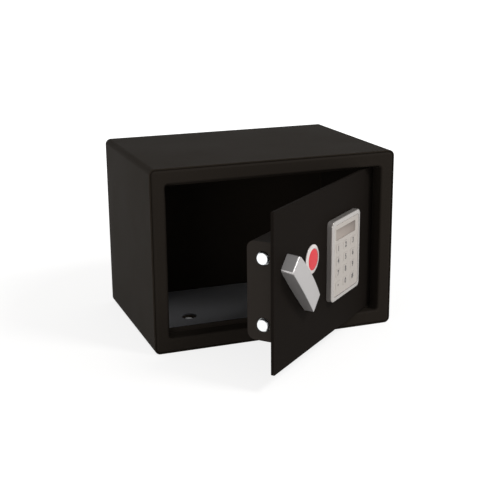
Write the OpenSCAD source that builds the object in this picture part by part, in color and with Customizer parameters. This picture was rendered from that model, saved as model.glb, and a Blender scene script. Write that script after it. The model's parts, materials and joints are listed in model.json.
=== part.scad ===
// Small electronic safe with its door standing open.
// Millimetres. X to the right seen from the front, Y to the rear, Z up.
// The origin is the middle of the underside.
// The door and all that it carries is drawn shut, then turned about its pins.

/* [Body] */
// Width of the body
body_w = 350; // [320:1:420]
// Depth of the body
body_d = 242; // [200:1:320]
// Height of the body
body_h = 252; // [240:1:320]
// Outer radius of the four long folds of the sleeve
fold_r = 8; // [6:0.5:12]
// Sheet thickness of the sleeve and the back panel
sheet_t = 2; // [1.5:0.5:3]
// Gap between the sleeve and what is welded into it
weld_gap = 0.2; // [0.1:0.05:0.3]
// Thickness of the mat on the floor
mat_t = 2.5; // [1:0.5:4]
// Gap between the mat and the folds and wall round it
mat_gap = 1; // [0.5:0.5:6]

/* [Anchor holes] */
// Radius of the four anchor holes
anchor_r = 6; // [4:0.5:8]
// Distance between the two holes in the floor
floor_holes_apart = 180; // [120:5:220]
// Distance between the two holes in the back panel
back_holes_apart = 240; // [120:5:260]
// Height of the holes in the back panel
back_holes_z = 100; // [60:5:180]
// Radius of the cut-outs in the mat over the floor holes
mat_hole_r = 11; // [9:1:15]

/* [Front frame] */
// Width of the rim at the left and right
rim_side = 20; // [18:1:30]
// Width of the rim at the top and bottom
rim_end = 21; // [19:1:30]
// Sheet thickness of the frame
frame_t = 2; // [1.5:0.5:2.5]
// Radius of the frame's outer front edge
frame_edge_r = 4; // [3:0.5:5]
// Radius of the lip round the opening
lip_r = 3; // [2.5:0.5:4]
// Corner radius of the opening
opening_r = 5; // [4:0.5:7]
// How far the sleeve's front edge stands behind the frame's face
sleeve_setback = 1.5; // [1:0.25:2]
// Depth of the frame's skirt inside the sleeve
skirt_d = 20; // [12:1:24]
// Width of the stop that the shut door meets
stop_w = 6.5; // [5:0.5:7]
// Depth of the pocket behind the hinge side of the door
hinge_pocket_d = 40; // [36:1:60]
// Width of the shelf that carries each hinge bush
hinge_shelf_w = 27; // [24:1:36]

/* [Door] */
// Angle at which the door stands open
door_open = 40.9; // [0:0.1:80]
// Gap between the door and the opening
door_gap = 3; // [2.5:0.25:4]
// Thickness of the door plate
door_t = 4; // [3:0.5:5]
// How far the shut door's face lies behind the frame's face
door_recess = 17; // [14:0.5:20]
// Gap between the shut door and its stop
stop_gap = 1; // [0.5:0.25:2]
// Corner radius of the door plate
door_r = 2; // [1:0.5:3]

/* [Hinge] */
// Distance from the hinge side of the door to the pins
pin_inset = 8; // [7:0.5:9]
// Distance from the door's face back to the pins
pin_back = 6.5; // [6:0.25:7]
// Radius of the hinge pins
pin_r = 4; // [3:0.5:4.5]
// Running clearance of the pins in their bushes
pin_play = 0.05; // [0.02:0.01:0.1]
// How far each pin stands out of its block
pin_out = 10; // [8:0.5:12]
// Height of the hinge blocks
block_h = 22; // [14:1:30]
// Width of the hinge blocks
block_w = 14; // [12:0.5:15]
// Depth of the hinge blocks
block_d = 10; // [9:0.5:14]
// Wall of the hinge bushes
bush_wall = 2; // [1.5:0.25:2.5]
// How far a bush's collar stands out round its body
bush_collar = 1.5; // [1:0.25:2]
// Length of a bush's body
bush_len = 8; // [6:0.5:12]
// Vertical play of the door between the bush collars
door_float = 0.3; // [0.2:0.05:0.5]
// Gap of everything that is pressed together
fit_gap = 0.02; // [0.01:0.01:0.04]

/* [Bolt work] */
// Radius of the two locking bolts
bolt_r = 8; // [6:0.5:9]
// Distance of the bolt axes from the top and bottom of the cover
bolt_from_cover = 20.5; // [18:0.5:22.5]
// Distance of the bolt axes behind the door plate
bolt_back = 14.4; // [14:0.2:15]
// Travel of the bolts
bolt_travel = 16; // [12:1:17]
// How far a drawn-back bolt stands out of the cover
bolt_proud = 2.5; // [1.5:0.25:3]
// Running clearance of the bolts in their guide
bolt_play = 0.1; // [0.05:0.05:0.1]
// Chamfer at the bolts' tips
bolt_chamfer = 1; // [0.5:0.25:1.5]
// Gap between the cover's end wall and the wall that guides the bolts
guide_wall_gap = 1.5; // [1:0.25:2]
// Clearance of the bolts in the cover's end wall
bolt_hole_gap = 1; // [0.75:0.25:1.5]
// Length of the bolt that grips the carriage
bolt_grip = 12; // [10:1:14]
// Radius of the rivets that hold the bolts
rivet_r = 2; // [1.5:0.25:2.5]
// How far the rivets' ends lie inside the bolts
rivet_inset = 0.5; // [0.25:0.25:1]
// Thickness of the carriage plate
carriage_t = 3; // [2.5:0.25:4]
// Width of the carriage's upright strip
carriage_strip_w = 14; // [14:1:18]
// Gap between the plunger's collar and the carriage's head
head_clear = 1; // [0.5:0.25:2]
// Gap between the crank disc's swing and the guide post
lobe_clear = 1; // [0.5:0.25:2]
// Gap between the thrown carriage and the wall that guides the bolts
carriage_clear = 4.5; // [3:0.5:5]
// How far the carriage reaches past the bolt axes
carriage_margin = 6; // [5:0.5:7]
// Distance from the guide post's axis to the edge of the carriage's head
carriage_edge = 8; // [7.5:0.5:8.5]
// Metal left past the end of the guide slot
carriage_tail = 8; // [6:0.5:9]
// How far the guide post stands from the knob's axis, towards the bolts
guide_from_knob = 4; // [3:0.5:5]
// Sheet thickness of the lock chassis
chassis_t = 2; // [1.5:0.5:2.5]
// How far the chassis reaches past the key lock's axis
chassis_past_lock = 18; // [16:1:20]
// Radius of the guide post
guide_r = 3; // [2.5:0.25:3.5]
// Shoulder of the guide post under the carriage
guide_shoulder = 2; // [1.5:0.25:2.5]
// How far the guide post's head stands out round it
guide_head_over = 3; // [2:0.5:3]
// Thickness of the guide post's head
guide_head_t = 2; // [1.5:0.5:2.5]
// Clearance of posts and pins in their slots
slot_gap = 0.3; // [0.2:0.05:0.4]

/* [Knob] */
// Distance from the free side of the door to the knob's axis
knob_from_edge = 60; // [58:1:64]
// Length of the knob
knob_len = 98; // [70:1:100]
// Width of the knob at its ends
knob_w = 25.4; // [20:0.2:28]
// Radius of the knob's bowed sides
knob_side_r = 900; // [600:10:1500]
// Greatest height of the knob
knob_h = 17; // [16:0.2:22]
// Radius of the knob's crowned face
knob_crown_r = 516; // [400:2:800]
// How far the crown's top lies from the axis, towards the upper end
knob_crown_shift = 18; // [0:0.5:20]
// How far the knob's upper end leans inwards over its height
knob_lean = 3.2; // [0:0.2:5]
// Turn of the knob from level, with the bolts drawn back; it stands upright when they are thrown
knob_rest = 46.5; // [44:0.5:50]
// Gap behind the knob
knob_gap = 0.5; // [0.3:0.1:1]
// Radius of the knob's spindle
spindle_r = 5; // [4:0.25:6]
// How far the spindle reaches into the knob
spindle_grip = 12; // [8:0.5:13]
// Wall of the spindle's bush
spindle_bush_wall = 3; // [2:0.5:4]
// How far the bush's collar stands out round it
spindle_collar_w = 3; // [2:0.5:4]
// Running clearance of turning spindles and plugs
turn_play = 0.05; // [0.02:0.01:0.1]
// Thickness of the crank disc
crank_t = 3; // [2.5:0.25:3.5]
// Radius of the crank disc
crank_r = 16; // [14:0.5:17]
// Radius of the crank pin
crank_pin_r = 3; // [2:0.25:3.5]
// Metal round the crank pin
crank_pin_wall = 2.5; // [2:0.25:3]
// How far the crank pin reaches past the carriage
crank_pin_past = 1.5; // [1:0.25:2]
// Spare length of the carriage's slot below the crank pin
crank_slot_spare = 0.5; // [0.25:0.25:1]
// Gap between the crank disc and the carriage
crank_gap = 1; // [0.5:0.25:1.5]
// Depth of the notch in the crank disc
notch_depth = 5; // [4:0.5:6]
// Clearance of the plunger in that notch
notch_gap = 0.8; // [0.5:0.1:1]

/* [Solenoid] */
// Length of the solenoid
solenoid_len = 30; // [24:1:34]
// Height and depth of the solenoid
solenoid_side = 20; // [18:1:20]
// Radius of the plunger
plunger_r = 3.5; // [3:0.25:4]
// Drop of the plunger's axis below the knob's axis
plunger_drop = 8; // [7:0.5:9]
// Travel of the plunger
plunger_travel = 5; // [3:0.5:6]
// Gap between the plunger's tip and the crank disc
plunger_gap = 0.4; // [0.3:0.05:0.6]
// Free length of the plunger between its tip and the solenoid
plunger_free = 12; // [11:0.5:14]
// Distance from the plunger's collar to the solenoid
collar_stand = 8; // [7:0.5:9]
// Width of the plunger's collar
collar_w = 1.5; // [1:0.25:2]
// How far the collar stands out round the plunger
collar_over = 1.5; // [1.2:0.1:2]
// Clearance of the spring round the plunger
spring_gap = 0.3; // [0.2:0.05:0.4]
// Thickness of the spring
spring_t = 0.8; // [0.5:0.1:1]
// Gap at each end of the spring
spring_seat = 0.1; // [0.05:0.05:0.2]
// Thickness of the solenoid's yoke
solenoid_wall = 2; // [1.5:0.25:2.5]
// Gap round the coil inside the yoke
coil_gap = 0.3; // [0.2:0.05:0.5]
// Spare room behind the drawn plunger
core_stop = 1; // [0.5:0.25:2]

/* [Key lock] */
// Distance from the free side of the door to the key lock
lock_from_edge = 104; // [102:1:108]
// Height of the key lock above the middle of the door
lock_rise = 18; // [18:0.5:22]
// Radius of the lock barrel
barrel_r = 9.9; // [9:0.1:10.5]
// Radius of the lock plug
plug_r = 6; // [5:0.25:7]
// Length of the barrel behind the door plate
barrel_len = 18; // [16:0.5:20]
// Radius of the cover disc over the lock
cover_disc_r = 19; // [17:0.5:20]
// Radius of the coloured centre of that disc
cover_centre_r = 14; // [13.5:0.25:15.5]
// Thickness of the cover disc
cover_disc_t = 2.6; // [2.5:0.1:3.5]
// Thickness of the cover disc at its rim
cover_rim_t = 1.2; // [0.8:0.1:1.6]
// Width of the flat land between the disc's slope and its coloured centre
cover_land = 0.8; // [0.5:0.1:1.2]
// Gap between that disc and the door
disc_gap = 0.3; // [0.2:0.05:0.5]
// How far the coloured centre lies below the ring's face
centre_inset = 0.3; // [0.2:0.05:0.6]
// Thickness of the coloured centre over the lock
centre_t = 1.2; // [1:0.1:1.4]
// Turn of the key
key_turn = 90; // [60:5:90]
// Radius of the pins that work the release link
throw_pin_r = 1.5; // [1.25:0.25:1.5]
// Width of the keyway
keyway_w = 1.6; // [1.2:0.1:2]
// Height of the keyway
keyway_h = 7; // [6:0.5:8]
// Gap between the solenoid and the release link
link_gap = 2.4; // [2.1:0.1:3]
// Thickness of the release link
link_t = 2; // [1.5:0.25:2.5]
// Width of the release link
link_w = 8; // [7.5:0.5:9]
// Extra length of the link past its slot
link_edge = 1; // [0.5:0.25:2]
// Spare height of the link's slot above its pin
link_slot_spare = 0.5; // [0.25:0.25:1]
// Radius of the barrel's front flange
barrel_flange_r = 12; // [11:0.5:13]
// Thickness of the barrel's front flange
barrel_flange_t = 1; // [0.75:0.25:1]
// Gap between that flange and the disc over it
flange_gap = 0.5; // [0.4:0.1:1]
// How far the plug reaches past the barrel
plug_past = 2; // [1.75:0.25:2.5]
// Gap between the barrel and the plug's rear flange
plug_flange_gap = 0.2; // [0.1:0.05:0.3]
// Radius of the barrel's nut over its corners
nut_r = 14; // [12:0.5:14.5]
// Thickness of the barrel's nut
nut_t = 5; // [4:0.5:6]

/* [Mechanism cover] */
// Distance from the free side of the door to the cover
cover_from_edge = 8; // [7:0.5:10]
// Distance from the hinge side of the door to the cover
cover_from_hinge = 48; // [44:1:56]
// Height of the cover
cover_h = 125; // [124:0.5:132]
// Depth of the cover
cover_d = 36; // [35:0.5:40]
// Radius of the cover's long rear folds
cover_fold_r = 10; // [6:0.5:12]
// Sheet thickness of the cover
cover_t = 2; // [1.5:0.25:2]
// Radius of the four posts that carry the cover
post_r = 3.5; // [3:0.25:4]
// Radius of the cover screws
screw_r = 1.5; // [1.25:0.25:2]
// Radius of the cover screws' heads
screw_head_r = 3; // [2.5:0.25:3.25]
// Thickness of the cover screws' heads
screw_head_h = 1.2; // [1:0.1:1.2]
// How far the cover screws reach into their posts
screw_reach = 12; // [8:1:16]
// Clearance of the screws in their holes
screw_gap = 0.2; // [0.1:0.05:0.3]
// How far the screws' heads lie below the cover's face
screw_set = 0.1; // [0.05:0.05:0.2]
// Distance from the cover's hinge side to the posts there
post_inset = 8; // [7:0.5:10]

/* [Batteries] */
// Number of cells
cell_count = 4; // [4:1:4]
// Radius of a cell
cell_r = 7.2; // [7:0.05:7.25]
// Length of a cell
cell_len = 50; // [49:0.5:50.5]
// Radius of a cell's contact end
cell_cap_r = 2.7; // [2.5:0.1:2.75]
// Height of a cell's contact end
cell_cap_h = 1.2; // [1:0.1:1.4]
// Gap round the row of cells
cell_gap = 0.3; // [0.2:0.05:0.4]
// Gap between two cells
cell_spare = 0.4; // [0.2:0.1:0.5]
// Depth of the battery tray
tray_d = 20; // [18:0.5:22]
// Wall of the battery tray
tray_wall = 2; // [1.5:0.25:2.5]
// Distance from the cover's hinge side to the tray
tray_inset = 14; // [13:0.5:18]
// Height of the tray above the cover's bottom
tray_rise = 10; // [9:0.5:12]
// Gap round the battery lid
lid_gap = 0.3; // [0.2:0.05:0.5]
// Radius of the lid's hinge knuckles
knuckle_r = 2; // [1.75:0.25:2.5]
// Gap between the lid and the cover's knuckles
knuckle_gap = 0.2; // [0.1:0.05:0.4]
// Length of the lid's hinge knuckles
knuckle_len = 12; // [10:0.5:13]
// How far the lid's pin ends inside its knuckles
pin_short = 0.5; // [0.25:0.25:1]
// Spare length of the tray over the cells
tray_spare = 2; // [1.5:0.25:3]
// Radius of the lid's hinge pin
lid_pin_r = 0.9; // [0.75:0.05:1]

/* [Control board] */
// Thickness of the control board
board_t = 1.6; // [1.2:0.2:1.8]
// Height of the control board
board_h = 36; // [34:1:38]
// Distance of the control board behind the door plate
board_back = 10; // [9:0.5:12]
// How far the board's top lies above the keypad's upper bosses
board_edge = 3; // [2:0.5:4]
// Radius of the board's standoffs
standoff_r = 2.5; // [2:0.25:2.5]
// Distance of the standoffs from the board's sides
standoff_x = 4; // [3:0.5:5]
// Distance of the standoffs from the board's top and bottom
standoff_z = 10; // [9.5:0.5:12]
// Radius of the reset switch
switch_body_r = 3.5; // [3:0.25:3.5]
// Height of the reset switch
switch_body_h = 1.6; // [1.2:0.1:2]
// Distance of the reset button from the board's side
button_from_side = 15; // [13:0.5:18]
// Distance of the reset button from the board's top
button_from_top = 12; // [11:0.5:14]
// Radius of the reset button
button_r = 4; // [3:0.25:4.5]
// How far the reset button stands out of the cover
button_out = 3; // [2.5:0.25:4]
// Travel of the reset button
button_travel = 1.5; // [1:0.1:1.6]
// Gap round the reset button
button_gap = 0.2; // [0.15:0.05:0.3]
// Width of the button's flange
button_flange_w = 2; // [1.5:0.25:2.5]
// Thickness of the button's flange
button_flange_t = 2; // [1:0.25:2.5]
// Radius of the lead between the two boards
lead_r = 2.5; // [2:0.25:3]
// Clearance of that lead in the door plate
lead_gap = 1; // [0.5:0.25:1.5]
// Distance of that lead from the board's side
lead_from_side = 16; // [14:1:20]
// Distance of that lead from the board's bottom
lead_from_bottom = 14; // [13:0.5:18]
// Radius of the leads to the solenoid and the cells
thin_lead_r = 1.2; // [0.8:0.1:1.4]

/* [Keypad] */
// Width of the keypad housing
keypad_w = 91; // [86:1:100]
// Height of the keypad housing
keypad_h = 110; // [106:1:120]
// How far the keypad stands off the door
keypad_d = 8; // [8:0.25:10]
// Corner radius of the keypad housing
keypad_r = 7; // [5:0.5:9]
// Radius of the keypad's front edge
keypad_edge_r = 1.8; // [1:0.1:1.8]
// Distance from the hinge side of the door to the keypad
keypad_from_hinge = 62; // [60:1:66]
// Wall of the keypad housing
keypad_wall = 2; // [1.5:0.25:2]
// Margin between the housing's edge and the inset panel
panel_margin = 6.5; // [6:0.25:7]
// Thickness of the inset panel
panel_t = 1.6; // [1.2:0.1:1.8]
// Gap round the inset panel
panel_gap = 0.5; // [0.3:0.05:0.8]
// How far the inset panel lies below the housing's face
panel_set = 0.2; // [0.1:0.05:0.4]
// Width of the ledge behind the inset panel
ledge_w = 2; // [1.5:0.25:2.5]
// Thickness of that ledge
ledge_t = 1.5; // [1:0.25:1.75]
// Radius of the screw bosses in the housing
boss_r = 3; // [2.5:0.25:3]
// Gap between the bosses and the housing's wall
boss_edge = 0.5; // [0.25:0.25:1]
// Metal or plastic left at the end of a boss's hole
boss_floor = 0.5; // [0.4:0.1:0.6]
// Least gap between the keypad and the cover disc of the key lock
keypad_clear = 3; // [2:0.5:6]
// Width of a key
key_w = 15; // [12:0.5:17]
// Height of a key
key_h = 10.5; // [8:0.5:11]
// Distance between key columns
key_pitch_x = 23.8; // [20:0.2:24]
// Distance between key rows
key_pitch_z = 16.8; // [14:0.2:17]
// Gap round each key
key_gap = 0.2; // [0.15:0.05:0.3]
// Corner radius of a key
key_r = 2; // [1:0.25:3]
// How far a key stands proud of the panel
key_proud = 0.3; // [0.1:0.05:0.5]
// Width of the flange that holds a key behind the panel
key_flange = 0.8; // [0.6:0.1:1]
// Thickness of that flange
key_flange_t = 0.9; // [0.7:0.1:1]
// Gap in front of and behind a resting key
key_rest_gap = 0.15; // [0.1:0.05:0.2]
// Travel of a key
key_travel = 0.6; // [0.4:0.1:0.7]
// Radius of the dome switch behind a key
dome_r = 2.5; // [2:0.25:3]
// Height of that switch
dome_h = 1.2; // [1:0.1:1.3]
// Thickness of the keypad's board
keypad_board_t = 1.2; // [0.8:0.1:1.2]
// Gap above and below the keypad's board
board_slack = 1; // [0.5:0.25:2]
// How far the keys lie off the middle, away from the hinge
keys_shift = 2.3; // [0:0.1:3]
// Height of the middle of the keys below the middle of the keypad
keys_drop = 9; // [8:0.5:10]
// Width of the display window
window_w = 63; // [50:1:66]
// Height of the display window
window_h = 14.7; // [12:0.1:15]
// Height of the display above the middle of the keypad
window_rise = 35; // [33:0.5:36]
// How far the display lies off the middle, away from the hinge
window_shift = 2.5; // [0:0.1:3]
// How far the display window lies below the panel's face
window_set = 0.3; // [0.1:0.05:0.6]
// How far the display reaches past its window at each side
display_over_w = 1; // [0.5:0.25:1.5]
// How far it reaches past its window above and below
display_over_h = 1.5; // [0.5:0.25:1.75]

/* [Hidden] */
$fn = 64;
round_fn = 360;
over = 1;

// Colours
black = [0.11, 0.10, 0.09];
dark_sheet = [0.14, 0.13, 0.12];
zinc = [0.72, 0.72, 0.70];
silver = [0.72, 0.70, 0.69];
grey_plastic = [0.30, 0.29, 0.28];
board_green = [0.10, 0.30, 0.16];

// Body
front_y = -body_d / 2;
rear_y = body_d / 2;
mid_z = body_h / 2;
inner_w = body_w - 2 * sheet_t;
inner_h = body_h - 2 * sheet_t;
inner_r = fold_r - sheet_t;

// Front frame
frame_w = inner_w - 2 * weld_gap;
frame_h = inner_h - 2 * weld_gap;
frame_r = inner_r - weld_gap;
opening_w = body_w - 2 * rim_side;
opening_h = body_h - 2 * rim_end;
opening_x = opening_w / 2;
stop_y = front_y + door_recess + door_t + stop_gap;
return_d = stop_y + frame_t - front_y;

// Door plate, drawn shut
door_w = opening_w - 2 * door_gap;
door_h = opening_h - 2 * door_gap;
free_x = -door_w / 2;
hinge_x = door_w / 2;
door_top = mid_z + door_h / 2;
door_bottom = mid_z - door_h / 2;
face_y = front_y + door_recess;
inside_y = face_y + door_t;
pin_x = hinge_x - pin_inset;
pin_y = face_y + pin_back;

// Hinge bushes
bush_r = pin_r + pin_play + bush_wall;
collar_t = door_gap - door_float;

// Mechanism cover
cover_x0 = free_x + cover_from_edge;
cover_x1 = hinge_x - cover_from_hinge;
cover_z0 = mid_z - cover_h / 2;
cover_y = inside_y + cover_d;
post_edge = cover_fold_r + post_r + slot_gap;

// Knob and crank
knob_x = free_x + knob_from_edge;
crank_y1 = inside_y + bolt_back - carriage_t / 2 - crank_gap;
crank_y0 = crank_y1 - crank_t;
knob_throw = 90 - knob_rest;
crank_arm = bolt_travel / (2 * sin(knob_throw / 2));
crank_at = 180 - knob_throw / 2;
crank_lobe_r = crank_pin_r + crank_pin_wall;
crank_pin_end = inside_y + bolt_back + carriage_t / 2 + crank_pin_past;

// Bolt work
bolt_y = inside_y + bolt_back;
bolt_spacing = cover_h - 2 * bolt_from_cover;
bolt_tip_x = cover_x0 - bolt_proud;
guide_wall_x0 = cover_x0 + cover_t + guide_wall_gap;
guide_wall_x1 = guide_wall_x0 + chassis_t;
carriage_x0 = guide_wall_x1 + bolt_travel + carriage_clear;
bolt_end_x = carriage_x0 + bolt_grip;
carriage_z0 = mid_z - bolt_spacing / 2 - carriage_margin;
carriage_z1 = mid_z + bolt_spacing / 2 + carriage_margin;
head_top = mid_z - plunger_drop - plunger_r - collar_over - head_clear;
guide_x = knob_x - guide_from_knob;
guide_z = mid_z - crank_arm - crank_lobe_r - lobe_clear - guide_r - guide_shoulder;
head_bottom = guide_z - carriage_edge;
carriage_x1 = guide_x + bolt_travel + guide_r + slot_gap + carriage_tail;
chassis_x1 = free_x + lock_from_edge + chassis_past_lock;
guide_head_r = guide_r + guide_head_over;

// Solenoid
plunger_z = mid_z - plunger_drop;
plunger_y = crank_y0 + plunger_r;
rim_reach = sqrt(crank_r * crank_r - (plunger_drop - plunger_r) * (plunger_drop - plunger_r));
plunger_tip_x = knob_x + rim_reach + plunger_gap;
solenoid_x0 = plunger_tip_x + plunger_free;
solenoid_x1 = solenoid_x0 + solenoid_len;
solenoid_y0 = inside_y + chassis_t;
collar_x0 = solenoid_x0 - collar_stand;
notch_r = plunger_r + notch_gap;
link_foot_x = collar_x0 - collar_w / 2 - throw_pin_r;
notch_at = 90 + asin(plunger_drop / crank_r) - knob_throw;

// Key lock
lock_x = free_x + lock_from_edge;
lock_z = mid_z + lock_rise;
plug_end = inside_y + barrel_len + plug_past;
throw_r = plunger_travel / (2 * sin(key_turn / 2));
link_y0 = inside_y + chassis_t + solenoid_side + link_gap;

// Batteries and lid
cell_pitch = 2 * cell_r + cell_spare;
tray_w = cell_count * cell_pitch + 2 * tray_wall + 2 * cell_gap;
tray_h = cell_len + 2 * tray_wall + tray_spare;
tray_x1 = cover_x1 - tray_inset;
tray_x0 = tray_x1 - tray_w;
tray_z0 = cover_z0 + tray_rise;
tray_z1 = tray_z0 + tray_h;
tray_y1 = cover_y - cover_t;
tray_y0 = tray_y1 - tray_d;
lid_x0 = tray_x0 + tray_wall + lid_gap;
lid_x1 = tray_x1 - tray_wall - lid_gap;
lid_z0 = tray_z0 + tray_wall + lid_gap;
lid_z1 = tray_z1 - tray_wall - lid_gap;
lid_axis_y = cover_y + knuckle_r + knuckle_gap;

// Control board and reset button
board_x1 = tray_x1;
board_x0 = tray_x0;
board_z1 = mid_z + keypad_h / 2 - keypad_wall - boss_r - boss_edge + board_edge;
board_z0 = board_z1 - board_h;
board_y = inside_y + board_back;
switch_top = board_y + board_t + switch_body_h;
button_x = board_x1 - button_from_side;
button_z = board_z1 - button_from_top;

// Keypad
keypad_x = max(hinge_x - keypad_from_hinge - keypad_w / 2,
               free_x + lock_from_edge + cover_disc_r + keypad_clear + keypad_w / 2);
keypad_y = face_y - keypad_d;
panel_w = keypad_w - 2 * panel_margin;
panel_h = keypad_h - 2 * panel_margin;
panel_r = keypad_r / 2;
panel_y = keypad_y + panel_set;
ledge_y = panel_y + panel_t;
keys_x = keypad_x - keys_shift;
keys_z = mid_z - keys_drop;
key_back_y = ledge_y + key_rest_gap + key_flange_t;
keypad_board_y = key_back_y + key_travel + key_rest_gap + dome_h;
window_x = keypad_x - window_shift;
window_z = mid_z + window_rise;
boss_x = keypad_w / 2 - keypad_wall - boss_r - boss_edge;
boss_z = keypad_h / 2 - keypad_wall - boss_r - boss_edge;
lead_x = board_x0 + lead_from_side;
lead_z = board_z0 + lead_from_bottom;

// Routes of the two inner leads, as points behind the shut door plate: x, depth, height
lead_out = 8;
lead_bend = 20;
lead_drop = 10;
board_mid = board_back + board_t / 2;
solenoid_exit = [solenoid_x1, plunger_y - inside_y, plunger_z];
board_entry = [board_x0, board_mid, board_z0 + lead_out];
solenoid_route = [
    solenoid_exit, solenoid_exit + [lead_out, 0, 0], solenoid_exit + [lead_bend, 0, lead_drop / 2],
    board_entry + [-lead_bend, 0, -lead_drop], board_entry + [-lead_out, 0, 0], board_entry
];
battery_exit = [(tray_x0 + tray_x1) / 2, cover_d - cover_t - tray_d / 2, tray_z1];
battery_entry = [battery_exit[0], board_back + board_t, board_z0 + lead_out];
battery_route = [
    battery_exit, battery_exit + [0, 0, 3], battery_exit + [0, -2, 8],
    battery_entry + [0, 6, -2], battery_entry + [0, 3, 0], battery_entry
];
lead_sides = 8;

// A rectangle in X and Z with round corners, centred
module round_rect(w, h, r) {
    square([w, h - 2 * r], center = true);
    square([w - 2 * r, h], center = true);
    for (sx = [-1, 1], sz = [-1, 1])
        translate([sx * (w / 2 - r), sz * (h / 2 - r)]) circle(r = r);
}

// Extrudes a figure drawn in X and Z from y0 back to y1
module slab(y0, y1) {
    translate([0, y1, 0]) rotate([90, 0, 0]) linear_extrude(y1 - y0) children();
}

// A round bar along Y
module bar_y(x, z, y0, y1, r) {
    translate([x, y0, z]) rotate([-90, 0, 0]) cylinder(r = r, h = y1 - y0);
}

// A round bar along X
module bar_x(y, z, x0, x1, r) {
    translate([x0, y, z]) rotate([0, 90, 0]) cylinder(r = r, h = x1 - x0);
}

// A block between two corners
module block(low, high) {
    translate(low) cube(high - low);
}

// Sweeps a profile, drawn as distance outwards and depth, round a rectangle with round corners
module sweep_round(w, h, r) {
    for (i = [0:3]) {
        span = i % 2 == 0 ? h : w;
        reach = i % 2 == 0 ? w : h;
        rotate([0, 90 * i, 0]) translate([reach / 2 - r, 0, r - span / 2]) {
            linear_extrude(span - 2 * r) children();
            rotate([-90, 0, 0]) rotate_extrude(angle = 90) children();
        }
    }
}

// A quarter of a ring in the quadrant given by the two signs
module quarter_ring(r, t, sx, sy) {
    intersection() {
        difference() {
            circle(r = r);
            circle(r = r - t);
        }
        translate([sx > 0 ? 0 : -r, sy > 0 ? 0 : -r]) square(r);
    }
}

// Turns what is drawn on the shut door to where the door stands
module on_door() {
    translate([pin_x, pin_y, 0]) rotate([0, 0, door_open]) translate([-pin_x, -pin_y, 0]) children();
}

// Turns what is drawn about the knob's axis, clockwise seen from the front
module about_knob(angle) {
    translate([knob_x, 0, mid_z]) rotate([0, angle, 0]) children();
}

// Points of a circle of a tube's section round p, square to the direction d
function tube_ring(p, d, r) = let(
    u = d / norm(d),
    a = abs(u[2]) < 0.9 ? cross(u, [0, 0, 1]) : cross(u, [1, 0, 0]),
    n = a / norm(a),
    b = cross(u, n)
) [for (k = [0:lead_sides - 1]) p + r * (cos(360 * k / lead_sides) * n + sin(360 * k / lead_sides) * b)];

function route_direction(points, i) =
    let(last = len(points) - 1) points[min(i + 1, last)] - points[max(i - 1, 0)];

// A thin lead along a route
module lead(points, r) {
    last = len(points) - 1;
    rings = [for (i = [0:last]) each tube_ring(points[i], route_direction(points, i), r)];
    sides = [for (i = [0:last - 1], k = [0:lead_sides - 1]) let(m = (k + 1) % lead_sides)
        [i * lead_sides + k, (i + 1) * lead_sides + k, (i + 1) * lead_sides + m, i * lead_sides + m]];
    start = [for (k = [0:lead_sides - 1]) k];
    end = [for (k = [0:lead_sides - 1]) last * lead_sides + lead_sides - 1 - k];
    polyhedron(points = rings, faces = concat([start], sides, [end]), convexity = 6);
}

// The folded sheet that is the top, sides and floor of the body
module body_sleeve() color(black) difference() {
    translate([0, 0, mid_z]) slab(front_y + sleeve_setback, rear_y) difference() {
        round_rect(body_w, body_h, fold_r);
        round_rect(inner_w, inner_h, inner_r);
    }
    for (s = [-1, 1])
        translate([s * floor_holes_apart / 2, 0, -over]) cylinder(r = anchor_r, h = sheet_t + 2 * over);
}

// The rear wall, welded in flush
module back_panel() color(black) difference() {
    translate([0, 0, mid_z]) slab(rear_y - sheet_t, rear_y)
        round_rect(inner_w - 2 * weld_gap, inner_h - 2 * weld_gap, inner_r - weld_gap);
    for (s = [-1, 1])
        bar_y(s * back_holes_apart / 2, back_holes_z, rear_y - sheet_t - over, rear_y + over, anchor_r);
}

// Section of the frame's outer edge: front strip, round edge and skirt
module frame_edge_section() {
    bend_at = frame_r - frame_edge_r;
    square([bend_at, frame_t]);
    translate([bend_at, frame_edge_r]) quarter_ring(frame_edge_r, frame_t, 1, -1);
    translate([frame_r - frame_t, frame_edge_r]) square([frame_t, skirt_d - frame_edge_r]);
}

// Section of the lip round the opening and its return wall
module frame_lip_section() {
    translate([opening_r + lip_r, lip_r]) quarter_ring(lip_r, frame_t, -1, -1);
    translate([opening_r, lip_r]) square([frame_t, return_d - lip_r]);
}

// The front frame: rim, lip, return wall, door stop and the hinge pocket
module front_frame() color(dark_sheet) difference() {
    union() {
        translate([0, front_y, mid_z]) {
            sweep_round(frame_w, frame_h, frame_r) frame_edge_section();
            sweep_round(opening_w, opening_h, opening_r) frame_lip_section();
            slab(0, frame_t) difference() {
                square([frame_w - 2 * frame_r, frame_h - 2 * frame_r], center = true);
                round_rect(opening_w + 2 * lip_r, opening_h + 2 * lip_r, opening_r + lip_r);
            }
        }
        translate([0, 0, mid_z]) slab(stop_y, stop_y + frame_t) intersection() {
            difference() {
                round_rect(opening_w + frame_t, opening_h + frame_t, opening_r + frame_t / 2);
                square([opening_w - 2 * stop_w, opening_h - 2 * stop_w], center = true);
            }
            translate([-body_w / 2, -body_h / 2]) square([body_w / 2 + opening_x - hinge_shelf_w, body_h]);
        }
        hinge_pocket();
    }
    for (z = [mid_z - opening_h / 2 - frame_t, mid_z + opening_h / 2])
        translate([pin_x, pin_y, z - over]) cylinder(r = bush_r, h = frame_t + 2 * over);
}

// The wall and two shelves behind the hinge side of the opening
module hinge_pocket() {
    y0 = front_y + return_d;
    y1 = front_y + hinge_pocket_d;
    z0 = mid_z - opening_h / 2;
    z1 = mid_z + opening_h / 2;
    block([opening_x, y0, z0 - frame_t], [opening_x + frame_t, y1, z1 + frame_t]);
    for (z = [z0 - frame_t, z1])
        block([opening_x - hinge_shelf_w, y0, z], [opening_x, y1, z + frame_t]);
}

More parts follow.
